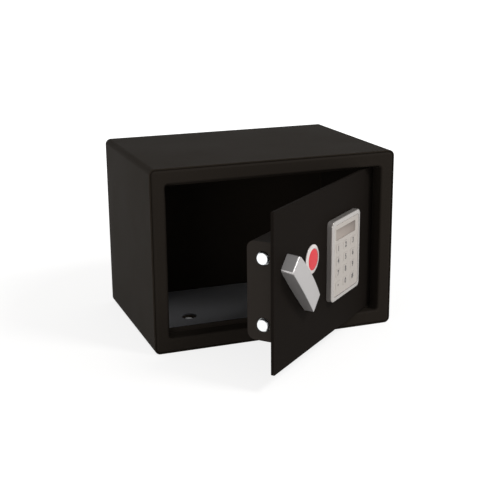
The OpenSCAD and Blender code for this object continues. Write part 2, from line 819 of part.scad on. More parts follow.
// The mat on the safe's floor
module floor_mat() color([0.16, 0.16, 0.17]) difference() {
    half_w = inner_w / 2 - inner_r - mat_gap;
    block([-half_w, front_y + hinge_pocket_d, sheet_t],
          [half_w, rear_y - sheet_t - mat_gap, sheet_t + mat_t]);
    for (s = [-1, 1])
        translate([s * floor_holes_apart / 2, 0, 0]) cylinder(r = mat_hole_r, h = sheet_t + mat_t + over);
}

// A collared bush, drawn upwards from its shelf, with the collar below
module hinge_bush() color(zinc) difference() {
    union() {
        cylinder(r = bush_r - fit_gap, h = bush_len);
        translate([0, 0, -collar_t]) cylinder(r = bush_r + bush_collar, h = collar_t);
    }
    translate([0, 0, -collar_t - over]) cylinder(r = pin_r + pin_play, h = bush_len + collar_t + 2 * over);
}

module upper_hinge_bush() translate([pin_x, pin_y, mid_z + opening_h / 2]) hinge_bush();

module lower_hinge_bush() translate([pin_x, pin_y, mid_z - opening_h / 2]) mirror([0, 0, 1]) hinge_bush();

// The thick front plate of the door
module door_plate() color(black) on_door() difference() {
    translate([0, 0, mid_z]) slab(face_y, inside_y) round_rect(door_w, door_h, door_r);
    bar_y(knob_x, mid_z, face_y - over, inside_y + over,
          spindle_r + turn_play + spindle_bush_wall + fit_gap);
    bar_y(lock_x, lock_z, face_y - over, inside_y + over, barrel_r + fit_gap);
    bar_y(lead_x, lead_z, face_y - over, inside_y + over, lead_r + lead_gap);
    for (sx = [-1, 1], sz = [-1, 1])
        bar_y(keypad_x + sx * boss_x, mid_z + sz * boss_z, face_y - over, inside_y + over,
              screw_r + screw_gap);
    for (z = [door_bottom - over, door_top - block_h])
        translate([pin_x, pin_y, z]) cylinder(r = pin_r + fit_gap, h = block_h + over);
}

// The block that carries a hinge pin behind the plate
module hinge_block(z) color(zinc) on_door() difference() {
    block([pin_x - block_w / 2, inside_y, z], [pin_x + block_w / 2, inside_y + block_d, z + block_h]);
    translate([pin_x, pin_y, z - over]) cylinder(r = pin_r + fit_gap, h = block_h + 2 * over);
}

module upper_hinge_block() hinge_block(door_top - block_h);

module lower_hinge_block() hinge_block(door_bottom);

module hinge_pin(z) color(zinc) on_door()
    translate([pin_x, pin_y, z]) cylinder(r = pin_r, h = block_h + pin_out);

module upper_hinge_pin() hinge_pin(door_top - block_h);

module lower_hinge_pin() hinge_pin(door_bottom - pin_out);

// The folded chassis: a base on the door plate and an upright wall that guides the bolts
module lock_chassis() color(zinc) on_door() difference() {
    union() {
        block([guide_wall_x0, inside_y, carriage_z0], [chassis_x1, inside_y + chassis_t, carriage_z1]);
        block([guide_wall_x0, inside_y, carriage_z0],
              [guide_wall_x1, inside_y + 2 * bolt_back, carriage_z1]);
    }
    bar_y(knob_x, mid_z, inside_y - over, inside_y + chassis_t + over, spindle_collar_r() + slot_gap);
    bar_y(lock_x, lock_z, inside_y - over, inside_y + chassis_t + over, barrel_r + fit_gap);
    for (s = [-1, 1])
        bar_x(bolt_y, mid_z + s * bolt_spacing / 2, guide_wall_x0 - over, guide_wall_x1 + over,
              bolt_r + bolt_play);
    for (p = post_places())
        bar_y(p[0], p[1], inside_y - over, inside_y + chassis_t + over, post_r + fit_gap);
}

// The shouldered post on which the carriage's head slides
module carriage_guide() color(zinc) on_door() {
    y0 = inside_y + chassis_t;
    y1 = bolt_y - carriage_t / 2 - slot_gap;
    y2 = bolt_y + carriage_t / 2 + slot_gap;
    bar_y(guide_x, guide_z, y0, y1, guide_r + guide_shoulder);
    bar_y(guide_x, guide_z, y1, y2, guide_r);
    bar_y(guide_x, guide_z, y2, y2 + guide_head_t, guide_head_r);
}

// The plate that joins the two bolts and takes the crank pin in an upright slot
module bolt_carriage() color(zinc) on_door() difference() {
    y0 = bolt_y - carriage_t / 2;
    y1 = bolt_y + carriage_t / 2;
    union() {
        block([carriage_x0, y0, carriage_z0], [carriage_x0 + carriage_strip_w, y1, carriage_z1]);
        block([carriage_x0, y0, head_bottom], [carriage_x1, y1, head_top]);
    }
    slot_r = guide_r + slot_gap;
    bar_y(guide_x, guide_z, y0 - over, y1 + over, slot_r);
    bar_y(guide_x + bolt_travel, guide_z, y0 - over, y1 + over, slot_r);
    block([guide_x, y0 - over, guide_z - slot_r], [guide_x + bolt_travel, y1 + over, guide_z + slot_r]);
    pin_slot_r = crank_pin_r + slot_gap;
    pin_slot_x = knob_x + bolt_travel / 2;
    pin_slot_z = mid_z - crank_arm - crank_slot_spare;
    block([pin_slot_x - pin_slot_r, y0 - over, pin_slot_z - pin_slot_r],
          [pin_slot_x + pin_slot_r, y1 + over, head_top + over]);
    for (s = [-1, 1])
        bar_y(rivet_x(), mid_z + s * bolt_spacing / 2, y0 - over, y1 + over, rivet_r + fit_gap);
}

function rivet_x() = carriage_x0 + bolt_grip / 2;

// A round bolt, slotted behind to grip the carriage
module bolt(z) color(zinc) on_door() difference() {
    union() {
        bar_x(bolt_y, z, bolt_tip_x + bolt_chamfer, bolt_end_x, bolt_r);
        translate([bolt_tip_x, bolt_y, z]) rotate([0, 90, 0])
            cylinder(r1 = bolt_r - bolt_chamfer, r2 = bolt_r, h = bolt_chamfer);
    }
    block([carriage_x0 - slot_gap, bolt_y - carriage_t / 2 - fit_gap, z - bolt_r - over],
          [bolt_end_x + over, bolt_y + carriage_t / 2 + fit_gap, z + bolt_r + over]);
    bar_y(rivet_x(), z, bolt_y - bolt_r - over, bolt_y + bolt_r + over, rivet_r + fit_gap);
}

module upper_bolt() bolt(mid_z + bolt_spacing / 2);

module lower_bolt() bolt(mid_z - bolt_spacing / 2);

// The two rivets through bolts and carriage
module bolt_rivets() color(silver) on_door()
    for (s = [-1, 1])
        bar_y(rivet_x(), mid_z + s * bolt_spacing / 2,
              bolt_y - bolt_r + rivet_inset, bolt_y + bolt_r - rivet_inset, rivet_r);

// The bar knob: crowned from end to end and a little wider below
module knob() color(silver) on_door() about_knob(knob_rest)
translate([0, face_y - knob_gap, 0]) difference() {
    intersection() {
        translate([0, 0, -knob_w]) linear_extrude(2 * knob_w) intersection() {
            polygon([
                [-knob_len / 2, 0], [knob_len / 2, 0],
                [knob_len / 2, -knob_h], [knob_lean - knob_len / 2, -knob_h]
            ]);
            translate([-knob_crown_shift, knob_crown_r - knob_h]) circle(r = knob_crown_r, $fn = round_fn);
        }
        slab(-knob_h - over, over) intersection() {
            side_in = sqrt(knob_side_r * knob_side_r - knob_len * knob_len / 4) - knob_w / 2;
            square([knob_len + 2 * over, 2 * knob_w], center = true);
            translate([0, side_in]) circle(r = knob_side_r, $fn = round_fn);
            translate([0, -side_in]) circle(r = knob_side_r, $fn = round_fn);
        }
    }
    bar_y(0, 0, -spindle_grip, over, spindle_r + fit_gap);
}

module knob_spindle() color(zinc) on_door()
    bar_y(knob_x, mid_z, face_y - knob_gap - spindle_grip, crank_y1, spindle_r);

function spindle_collar_r() = spindle_r + turn_play + spindle_bush_wall + spindle_collar_w;

// The bush in which the spindle turns
module spindle_bush() color(zinc) on_door() difference() {
    union() {
        bar_y(knob_x, mid_z, face_y, crank_y0 - slot_gap, spindle_r + turn_play + spindle_bush_wall);
        bar_y(knob_x, mid_z, inside_y, inside_y + chassis_t, spindle_collar_r());
    }
    bar_y(knob_x, mid_z, face_y - over, crank_y0, spindle_r + turn_play);
}

// The disc on the spindle with the crank pin and the notch that the plunger drops into
module crank_disc() color(zinc) on_door() about_knob(0) difference() {
    union() {
        slab(crank_y0, crank_y1) {
            circle(r = crank_r);
            rotate([0, 0, -crank_at]) translate([0, crank_arm]) circle(r = crank_lobe_r);
            rotate([0, 0, -crank_at]) translate([-crank_lobe_r, 0]) square([2 * crank_lobe_r, crank_arm]);
        }
        rotate([0, crank_at, 0]) bar_y(0, crank_arm, crank_y0 + crank_t / 2, crank_pin_end, crank_pin_r);
    }
    bar_y(0, 0, crank_y0 - over, crank_y1 + over, spindle_r + fit_gap);
    rotate([0, notch_at, 0])
        block([-notch_r, crank_y0 - over, crank_r - notch_depth],
              [notch_r, crank_y1 + over, crank_r + over]);
}

// The open steel yoke round the coil
module solenoid_frame() color(zinc) on_door() difference() {
    z0 = plunger_z - solenoid_side / 2;
    z1 = plunger_z + solenoid_side / 2;
    block([solenoid_x0, solenoid_y0, z0], [solenoid_x1, solenoid_y0 + solenoid_side, z1]);
    block([solenoid_x0 + solenoid_wall, solenoid_y0 + solenoid_wall, z0 - over],
          [solenoid_x1 - solenoid_wall, solenoid_y0 + solenoid_side + over, z1 + over]);
    bar_x(plunger_y, plunger_z, solenoid_x0 - over, solenoid_x0 + solenoid_wall + over,
          plunger_r + slot_gap);
}

module solenoid_coil() color([0.55, 0.30, 0.14]) on_door() difference() {
    coil_r = min(plunger_y - solenoid_y0 - solenoid_wall, solenoid_side / 2) - coil_gap;
    x0 = solenoid_x0 + solenoid_wall + coil_gap;
    x1 = solenoid_x1 - solenoid_wall - coil_gap;
    bar_x(plunger_y, plunger_z, x0, x1, coil_r);
    bar_x(plunger_y, plunger_z, x0 - over, x1 + over, plunger_r + slot_gap);
}

// The plunger, its collar and the pin that the key lock draws it by
module solenoid_plunger() color(silver) on_door() {
    bar_x(plunger_y, plunger_z, plunger_tip_x, solenoid_x1 - solenoid_wall - plunger_travel - core_stop,
          plunger_r);
    bar_x(plunger_y, plunger_z, collar_x0 - collar_w, collar_x0, plunger_r + collar_over);
    bar_y(link_foot_x, plunger_z, plunger_y, link_y0 + link_t, throw_pin_r);
}

// The spring that pushes the plunger out
module plunger_spring() color(silver) on_door() difference() {
    bar_x(plunger_y, plunger_z, collar_x0 + spring_seat, solenoid_x0 - spring_seat,
          plunger_r + spring_gap + spring_t);
    bar_x(plunger_y, plunger_z, collar_x0 - over, solenoid_x0 + over, plunger_r + spring_gap);
}

// The flat link between the plunger's pin and the pin on the lock plug
// Its slot is longer than the pin by the travel, so that the coil can draw the plunger alone
module release_link() color(zinc) on_door() difference() {
    head_z = lock_z - link_w / 2;
    rest_x = lock_x - plunger_travel / 2;
    slot_w = throw_pin_r + slot_gap;
    union() {
        block([link_foot_x - link_w / 2, link_y0, plunger_z - link_w / 2],
              [link_foot_x + link_w / 2, link_y0 + link_t, lock_z + throw_r + link_w / 2]);
        block([link_foot_x - link_w / 2, link_y0, head_z],
              [rest_x + link_w / 2 + link_edge, link_y0 + link_t, lock_z + throw_r + link_w / 2]);
    }
    bar_y(link_foot_x, plunger_z, link_y0 - over, link_y0 + link_t + over, throw_pin_r + fit_gap);
    block([rest_x - slot_w - plunger_travel, link_y0 - over, lock_z - slot_w],
          [rest_x + slot_w, link_y0 + link_t + over, lock_z + throw_r + slot_w + link_slot_spare]);
}

// The key lock's barrel with its front flange
module lock_barrel() color(zinc) on_door() difference() {
    union() {
        bar_y(lock_x, lock_z, face_y, inside_y + barrel_len, barrel_r);
        bar_y(lock_x, lock_z, face_y - barrel_flange_t, face_y, barrel_flange_r);
    }
    bar_y(lock_x, lock_z, face_y - barrel_flange_t - over, inside_y + barrel_len + over,
          plug_r + turn_play);
}

// The plug that the key turns, with the small throw pin behind
module lock_plug() color(silver) on_door() difference() {
    union() {
        bar_y(lock_x, lock_z, face_y, plug_end, plug_r);
        translate([lock_x, 0, lock_z]) rotate([0, -key_turn / 2, 0])
            bar_y(0, throw_r, plug_end, link_y0 + link_t, throw_pin_r);
        bar_y(lock_x, lock_z, inside_y + barrel_len + plug_flange_gap, plug_end, plug_r + plug_past);
    }
    block([lock_x - keyway_w / 2, face_y - over, lock_z - keyway_h / 2],
          [lock_x + keyway_w / 2, inside_y, lock_z + keyway_h / 2]);
}

// The six-sided nut that clamps the barrel
module lock_nut() color(zinc) on_door() difference() {
    y0 = inside_y + chassis_t;
    translate([lock_x, y0, lock_z]) rotate([-90, 0, 0]) cylinder(r = nut_r, h = nut_t, $fn = 6);
    bar_y(lock_x, lock_z, y0 - over, y0 + nut_t + over, barrel_r + fit_gap);
}

// The silver ring of the cover over the key lock
module lock_cover_ring() color(silver) on_door() difference() {
    rim_y = face_y - disc_gap - cover_rim_t;
    union() {
        bar_y(lock_x, lock_z, rim_y, face_y - disc_gap, cover_disc_r);
        translate([lock_x, rim_y, lock_z]) rotate([90, 0, 0])
            cylinder(r1 = cover_disc_r, r2 = cover_centre_r + cover_land,
                     h = cover_disc_t - cover_rim_t, $fn = round_fn);
    }
    bar_y(lock_x, lock_z, face_y - disc_gap - cover_disc_t - over, face_y, cover_centre_r);
}

// The coloured centre of that cover, hollow over the lock's flange
module lock_cover_centre() color([0.80, 0.16, 0.20]) on_door() difference() {
    y0 = face_y - disc_gap - cover_disc_t + centre_inset;
    bar_y(lock_x, lock_z, y0, face_y - disc_gap, cover_centre_r - fit_gap);
    bar_y(lock_x, lock_z, y0 + centre_t, face_y, barrel_flange_r + flange_gap);
}

// Outline of the cover or of its hollow, in depth and height, with round rear folds
module cover_outline(d, h, r) {
    translate([0, -h / 2]) square([d - r, h]);
    translate([0, r - h / 2]) square([d, h - 2 * r]);
    for (s = [-1, 1])
        translate([d - r, s * (h / 2 - r)]) circle(r = r);
}

// Extrudes a figure drawn in depth and height along X
module along_x(x0, x1) {
    translate([x0, inside_y, mid_z]) rotate([90, 0, 90]) linear_extrude(x1 - x0) children();
}

// The folded cover over the mechanism, open towards the door plate
module mechanism_cover() color(black) on_door() difference() {
    union() {
        difference() {
            along_x(cover_x0, cover_x1) cover_outline(cover_d, cover_h, cover_fold_r);
            translate([0, -over, 0]) along_x(cover_x0 + cover_t, cover_x1 - cover_t)
                cover_outline(cover_d - cover_t + over, cover_h - 2 * cover_t, cover_fold_r - cover_t);
        }
        for (x = [lid_x0 + knuckle_len, lid_x1 - 2 * knuckle_len]) {
            bar_x(lid_axis_y, lid_z0, x, x + knuckle_len, knuckle_r);
            block([x, cover_y - over, lid_z0 - knuckle_r], [x + knuckle_len, lid_axis_y, lid_z0]);
        }
    }
    for (s = [-1, 1])
        bar_x(bolt_y, mid_z + s * bolt_spacing / 2, cover_x0 - over, cover_x0 + cover_t + over,
              bolt_r + bolt_hole_gap);
    block([lid_x0 - lid_gap, cover_y - cover_t - over, lid_z0 - lid_gap],
          [lid_x1 + lid_gap, cover_y + over, lid_z1 + lid_gap]);
    bar_x(lid_axis_y, lid_z0, lid_x0, lid_x1, lid_pin_r + fit_gap);
    bar_y(button_x, button_z, cover_y - cover_t - over, cover_y + over, button_r + button_gap);
    for (p = post_places()) {
        bar_y(p[0], p[1], cover_y - cover_t - over, cover_y + over, screw_r + screw_gap);
        bar_y(p[0], p[1], cover_y - screw_head_h, cover_y + over, screw_head_r + screw_gap);
    }
}

function post_places() = [
    for (x = [guide_x, cover_x1 - post_inset], s = [-1, 1])
        [x, mid_z + s * (cover_h / 2 - post_edge)]
];

// The four posts that the cover is screwed to
module cover_posts() color(zinc) on_door() difference() {
    y1 = cover_y - cover_t;
    union() for (p = post_places()) bar_y(p[0], p[1], inside_y, y1, post_r);
    for (p = post_places()) bar_y(p[0], p[1], y1 - screw_reach - over, y1 + over, screw_r);
}

module cover_screws() color(silver) on_door()
    for (p = post_places()) {
        bar_y(p[0], p[1], cover_y - cover_t - screw_reach, cover_y - screw_head_h, screw_r - fit_gap);
        bar_y(p[0], p[1], cover_y - screw_head_h, cover_y - screw_set, screw_head_r);
    }

// The open tray for the cells, seated on the inside of the cover
module battery_tray() color(grey_plastic) on_door() difference() {
    block([tray_x0, tray_y0, tray_z0], [tray_x1, tray_y1, tray_z1]);
    block([tray_x0 + tray_wall, tray_y0 + tray_wall, tray_z0 + tray_wall],
          [tray_x1 - tray_wall, tray_y1 + over, tray_z1 - tray_wall]);
}

// The cells side by side, each with its small contact end
module batteries() color([0.20, 0.24, 0.30]) on_door()
    for (i = [0:cell_count - 1])
        translate([tray_x0 + tray_wall + cell_gap + (i + 0.5) * cell_pitch,
                   tray_y0 + tray_wall + cell_gap + cell_r, tray_z0 + tray_wall + cell_gap]) {
            cylinder(r = cell_r, h = cell_len);
            translate([0, 0, cell_len]) cylinder(r = cell_cap_r, h = cell_cap_h);
        }

// The lid over the cells, hinged along its lower edge
module battery_lid() color(grey_plastic) on_door() difference() {
    union() {
        block([lid_x0, cover_y - cover_t, lid_z0], [lid_x1, cover_y, lid_z1]);
        for (x = [lid_x0, lid_x1 - knuckle_len + slot_gap]) {
            bar_x(lid_axis_y, lid_z0, x, x + knuckle_len - slot_gap, knuckle_r);
            block([x, cover_y - cover_t, lid_z0],
                  [x + knuckle_len - slot_gap, lid_axis_y, lid_z0 + knuckle_r]);
        }
    }
    bar_x(lid_axis_y, lid_z0, lid_x0 - over, lid_x1 + over, lid_pin_r + turn_play);
}

module battery_lid_pin() color(silver) on_door()
    bar_x(lid_axis_y, lid_z0, lid_x0 + pin_short, lid_x1 - pin_short, lid_pin_r);

// The control board on its four standoffs, with the reset switch
module control_board() color(board_green) on_door() {
    block([board_x0, board_y, board_z0], [board_x1, board_y + board_t, board_z1]);
    for (x = [board_x0 + standoff_x, board_x1 - standoff_x])
        for (z = [board_z0 + standoff_z, board_z1 - standoff_z])
            bar_y(x, z, inside_y, board_y, standoff_r);
    bar_y(button_x, button_z, board_y + board_t, switch_top, switch_body_r);
}

// The reset button, held by a flange behind the cover's wall
module reset_button() color([0.75, 0.10, 0.10]) on_door() {
    y1 = cover_y - cover_t - button_gap;
    bar_y(button_x, button_z, switch_top + button_travel + button_gap, cover_y + button_out, button_r);
    bar_y(button_x, button_z, y1 - button_flange_t, y1, button_r + button_flange_w);
}

// The keypad's housing with the recess for the inset panel
module keypad_housing() color(silver) on_door() translate([keypad_x, 0, mid_z]) {
    difference() {
        union() {
            slab(keypad_y + keypad_edge_r, face_y) round_rect(keypad_w, keypad_h, keypad_r);
            translate([0, keypad_y, 0]) sweep_round(keypad_w, keypad_h, keypad_r) keypad_edge_section();
            slab(keypad_y, keypad_y + keypad_edge_r)
                square([keypad_w - 2 * keypad_r, keypad_h - 2 * keypad_r], center = true);
        }
        slab(keypad_y - over, ledge_y)
            round_rect(panel_w + 2 * panel_gap, panel_h + 2 * panel_gap, panel_r + panel_gap);
        slab(keypad_y, face_y) round_rect(panel_w - 2 * ledge_w, panel_h - 2 * ledge_w, panel_r);
        slab(ledge_y + ledge_t, face_y + over)
            round_rect(keypad_w - 2 * keypad_wall, keypad_h - 2 * keypad_wall, keypad_r - keypad_wall);
    }
    for (sx = [-1, 1], sz = [-1, 1]) difference() {
        bar_y(sx * boss_x, sz * boss_z, ledge_y + ledge_t, face_y, boss_r);
        bar_y(sx * boss_x, sz * boss_z, ledge_y + ledge_t + boss_floor, face_y + over, screw_r - screw_gap);
    }
}

// Section of the housing's front edge, as deep as its round
module keypad_edge_section() {
    flat = keypad_r - keypad_edge_r;
    square([flat, keypad_edge_r]);
    translate([flat, keypad_edge_r]) intersection() {
        circle(r = keypad_edge_r);
        translate([0, -keypad_edge_r]) square(keypad_edge_r);
    }
}

function key_place(i) = [keys_x + (i % 3 - 1) * key_pitch_x, keys_z + (1.5 - floor(i / 3)) * key_pitch_z];

// The inset panel with its openings for the display and the keys
module keypad_panel() color([0.78, 0.76, 0.74]) on_door() difference() {
    translate([keypad_x, 0, mid_z]) slab(panel_y, panel_y + panel_t) round_rect(panel_w, panel_h, panel_r);
    translate([window_x, 0, window_z]) slab(panel_y - over, panel_y + panel_t + over)
        square([window_w, window_h], center = true);
    for (i = [0:11])
        translate([key_place(i)[0], 0, key_place(i)[1]]) slab(panel_y - over, panel_y + panel_t + over)
            round_rect(key_w + 2 * key_gap, key_h + 2 * key_gap, key_r + key_gap);
}

// One key: a cap through the panel and a flange behind it
module key(i) color([0.78, 0.76, 0.74]) on_door() translate([key_place(i)[0], 0, key_place(i)[1]]) {
    slab(panel_y - key_proud, key_back_y) round_rect(key_w, key_h, key_r);
    slab(key_back_y - key_flange_t, key_back_y)
        round_rect(key_w + 2 * key_flange, key_h + 2 * key_flange, key_r + key_flange);
}

module display_window() color([0.50, 0.47, 0.44]) on_door() translate([window_x, 0, window_z])
    slab(panel_y + window_set, panel_y + panel_t)
        square([window_w - 2 * key_gap, window_h - 2 * key_gap], center = true);

module display_module() color([0.35, 0.36, 0.34]) on_door() translate([window_x, 0, window_z])
    slab(panel_y + panel_t, keypad_board_y)
        square([window_w + 2 * display_over_w, window_h + 2 * display_over_h], center = true);

// The board behind the keys with a dome switch for each
module keypad_board() color(board_green) on_door() {
    keys_board_w = 2 * (boss_x - boss_r - boss_edge);
    keys_board_h = keypad_h - 2 * keypad_wall - 2 * board_slack;
    translate([keypad_x, 0, mid_z]) slab(keypad_board_y, keypad_board_y + keypad_board_t)
        square([keys_board_w, keys_board_h], center = true);
    for (i = [0:11])
        bar_y(key_place(i)[0], key_place(i)[1], keypad_board_y - dome_h, keypad_board_y, dome_r);
}

// The four screws through the door plate into the keypad's bosses
module keypad_screws() color(silver) on_door() translate([keypad_x, 0, mid_z])
    for (sx = [-1, 1], sz = [-1, 1]) {
        bar_y(sx * boss_x, sz * boss_z, ledge_y + ledge_t + 2 * boss_floor, inside_y,
              screw_r - screw_gap - fit_gap);
        bar_y(sx * boss_x, sz * boss_z, inside_y, inside_y + screw_head_h, screw_head_r);
    }

// The lead between the two boards, and those to the solenoid and the cells
module wiring() color([0.12, 0.12, 0.13]) on_door() {
    bar_y(lead_x, lead_z, keypad_board_y + keypad_board_t, board_y, lead_r);
    translate([0, inside_y, 0]) lead(solenoid_route, thin_lead_r);
    translate([0, inside_y, 0]) lead(battery_route, thin_lead_r);
}

body_sleeve();
back_panel();
front_frame();
floor_mat();
upper_hinge_bush();
lower_hinge_bush();
door_plate();
upper_hinge_block();
lower_hinge_block();
upper_hinge_pin();
lower_hinge_pin();
lock_chassis();
carriage_guide();
bolt_carriage();
upper_bolt();
lower_bolt();
bolt_rivets();
knob();
knob_spindle();
spindle_bush();
crank_disc();
solenoid_frame();
solenoid_coil();
solenoid_plunger();
plunger_spring();
release_link();
lock_barrel();
lock_plug();
lock_nut();
lock_cover_ring();
lock_cover_centre();
mechanism_cover();
cover_posts();
cover_screws();
battery_tray();
batteries();
battery_lid();
battery_lid_pin();
control_board();
reset_button();
keypad_housing();
keypad_panel();
display_window();
display_module();
keypad_board();
keypad_screws();
key(0);  // key_1
key(1);  // key_2
key(2);  // key_3
key(3);  // key_4
key(4);  // key_5
key(5);  // key_6
key(6);  // key_7
key(7);  // key_8
key(8);  // key_9
key(9);  // key_left
key(10);  // key_0
key(11);  // key_right
wiring();
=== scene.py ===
# %% [markdown]
# # A small electronic safe, dressed for its picture
# The solids of the safe arrive finished and sized. What they lack is what the eye looks for:
# softened edges that catch a thin line of light, paint with a grain, brushed and plated metal,
# printed digits. This lesson adds those, one piece or finish at a time, and never moves a solid.

# %% Load the solids
import json
import math

import bmesh
import bpy
from mathutils import Matrix, Vector

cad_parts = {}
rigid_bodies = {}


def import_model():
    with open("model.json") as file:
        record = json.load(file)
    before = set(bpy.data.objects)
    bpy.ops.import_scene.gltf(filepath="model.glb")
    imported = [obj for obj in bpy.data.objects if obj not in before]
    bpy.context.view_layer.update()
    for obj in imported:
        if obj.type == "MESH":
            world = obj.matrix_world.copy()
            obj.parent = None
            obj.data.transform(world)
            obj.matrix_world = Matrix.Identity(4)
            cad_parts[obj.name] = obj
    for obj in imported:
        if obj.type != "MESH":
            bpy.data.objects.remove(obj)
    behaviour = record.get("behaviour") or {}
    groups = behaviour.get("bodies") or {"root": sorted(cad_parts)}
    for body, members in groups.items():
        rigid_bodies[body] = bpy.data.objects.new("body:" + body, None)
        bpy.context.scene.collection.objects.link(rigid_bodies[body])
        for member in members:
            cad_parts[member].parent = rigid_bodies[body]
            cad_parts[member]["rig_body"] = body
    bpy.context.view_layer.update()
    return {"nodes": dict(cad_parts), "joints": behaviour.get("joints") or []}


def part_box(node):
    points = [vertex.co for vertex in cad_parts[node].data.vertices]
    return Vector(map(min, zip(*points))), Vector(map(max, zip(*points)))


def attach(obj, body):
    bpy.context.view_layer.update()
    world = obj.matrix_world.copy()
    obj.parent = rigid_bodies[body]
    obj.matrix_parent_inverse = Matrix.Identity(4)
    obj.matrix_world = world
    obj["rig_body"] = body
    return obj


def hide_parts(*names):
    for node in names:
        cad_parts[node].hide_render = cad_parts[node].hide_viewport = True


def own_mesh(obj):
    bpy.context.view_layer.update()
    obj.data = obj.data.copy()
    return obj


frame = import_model()
joints = {j["name"]: j for j in frame["joints"]}

# %% [markdown]
# ## Two places to work in
# Everything on the door is easiest to think of with the door shut: X to the right, Y to the rear,
# Z up. The door stands open, so each such piece is turned about the hinge pins when it is done.
# The turn goes into the mesh, and the object stays at the origin like the solids. The hinge's lower
# limit tells how far the door stands open, because there it is shut.

# %% The door's turn
MM = 0.001
DOOR_OPEN = -math.radians(joints["door_hinge"]["range_deg"][0])
hinge = Vector(joints["door_hinge"]["pos_m"])
DOOR_TURN = Matrix.Translation(hinge) @ Matrix.Rotation(DOOR_OPEN, 4, "Z") @ Matrix.Translation(-hinge)
SHUT = DOOR_TURN.inverted()


def corners(points):
    """Lowest and highest corner of the box round some points."""
    return [Vector([pick(p[i] for p in points) for i in range(3)]) for pick in (min, max)]


def shut_box(node):
    """Lowest and highest corner of a solid on the door, with the door shut, in metres."""
    return corners([SHUT @ v.co for v in frame["nodes"][node].data.vertices])


plate_low, plate_high = shut_box("door_plate")
print("door plate", [round(x / MM, 1) for x in plate_high - plate_low], "mm")

# %% [markdown]
# ## Shader maths that reads like maths
# A finish is a small sum: so much noise, less where it is smooth, times a depth. Wiring that by
# hand hides the sum. A thin class round a socket lets it be written as an expression instead, and
# one method makes every other kind of node.


# %% A socket that can be added and multiplied
class Wire:
    """An output socket. An expression with it makes Math nodes in its graph."""

    def __init__(self, graph, socket):
        self.graph, self.socket = graph, socket

    def sum(self, kind, *values):
        return self.graph.node("ShaderNodeMath", {"operation": kind}, dict(enumerate(values)))

    def output(self, name):
        """Another output of the same node."""
        return Wire(self.graph, self.socket.node.outputs[name])

    def larger(self, other):
        return self.sum("MAXIMUM", self, other)

    def __add__(self, other):
        return self.sum("ADD", self, other)

    def __sub__(self, other):
        return self.sum("SUBTRACT", self, other)

    def __rsub__(self, other):
        return self.sum("SUBTRACT", other, self)

    def __mul__(self, other):
        return self.sum("MULTIPLY", self, other)

    def __lt__(self, other):
        return self.sum("LESS_THAN", self, other)

    def __abs__(self):
        return self.sum("ABSOLUTE", self)

    __radd__ = __add__
    __rmul__ = __mul__


# %% A graph of nodes
class Graph:
    """The nodes of one material, or of the room."""

    def __init__(self, tree):
        self.tree = tree

    def node(self, kind, settings=None, inputs=None, out=0):
        """Makes a node: its settings first, then a value or a wire for each socket that is named."""
        made = self.tree.nodes.new(kind)
        for key, value in (settings or {}).items():
            setattr(made, key, value)
        for key, value in (inputs or {}).items():
            if isinstance(value, Wire):
                self.tree.links.new(value.socket, made.inputs[key])
            else:
                made.inputs[key].default_value = value
        return Wire(self, made.outputs[out])

    def show(self, wire):
        """Takes a shader as the one that is seen."""
        self.tree.links.new(wire.socket, self.tree.get_output_node("ALL").inputs["Surface"])


# %% A finish
class Finish(Graph):
    """A material with one Principled shader, built up node by node."""

    def __init__(self, name, color, roughness=0.5, metallic=0.0, **fixed):
        self.material = bpy.data.materials.new(name)
        self.material.use_nodes = True
        self.material.diffuse_color = (*color, 1)
        super().__init__(self.material.node_tree)
        self.shader = self.tree.nodes["Principled BSDF"]
        plain = {"Base Color": (*color, 1), "Roughness": roughness, "Metallic": metallic}
        for key, value in (plain | fixed).items():
            self.shader.inputs[key.replace("_", " ")].default_value = value
        self.place = self.node("ShaderNodeTexCoord", out="Object")

    def feed(self, name, wire):
        self.tree.links.new(wire.socket, self.shader.inputs[name])

    def where(self, scale=(1, 1, 1), turn=(0, 0, 0), at=(0, 0, 0)):
        """Object coordinates, turned and stretched."""
        return self.node("ShaderNodeMapping", {"vector_type": "TEXTURE"},
                         {"Vector": self.place, "Location": at, "Rotation": turn, "Scale": scale})

    def along(self, axis, **where):
        """How far along one axis a point lies."""
        return self.node("ShaderNodeSeparateXYZ", {}, {0: self.where(**where)}, out=axis)

    def noise(self, size, detail=2.0, rough=0.5, **where):
        """Noise with blobs of about the given size in metres, from 0 to 1."""
        return self.node("ShaderNodeTexNoise", {}, {"Vector": self.where(**where), "Scale": 1 / size,
                                                    "Detail": detail, "Roughness": rough})

    def blend(self, amount, a, b):
        """A colour between two others, each a wire or red, green and blue."""
        a, b = [c if isinstance(c, Wire) else (*c, 1) for c in (a, b)]
        return self.node("ShaderNodeMix", {"data_type": "RGBA"}, {0: amount, 6: a, 7: b}, out=2)

    def bump(self, height, depth, strength=0.5):
        """Feeds a height from 0 to 1 as relief of the given depth in metres."""
        self.feed("Normal", self.node("ShaderNodeBump", {},
                                      {"Strength": strength, "Distance": depth, "Height": height}))


def times(color, factor):
    return tuple(c * factor for c in color)


def rgb(r, g, b):
    """A screen colour from 0 to 255 as the linear colour that the shaders use."""
    def line(c):
        c /= 255
        return c / 12.92 if c <= 0.04045 else ((c + 0.055) / 1.055) ** 2.4
    return line(r), line(g), line(b)
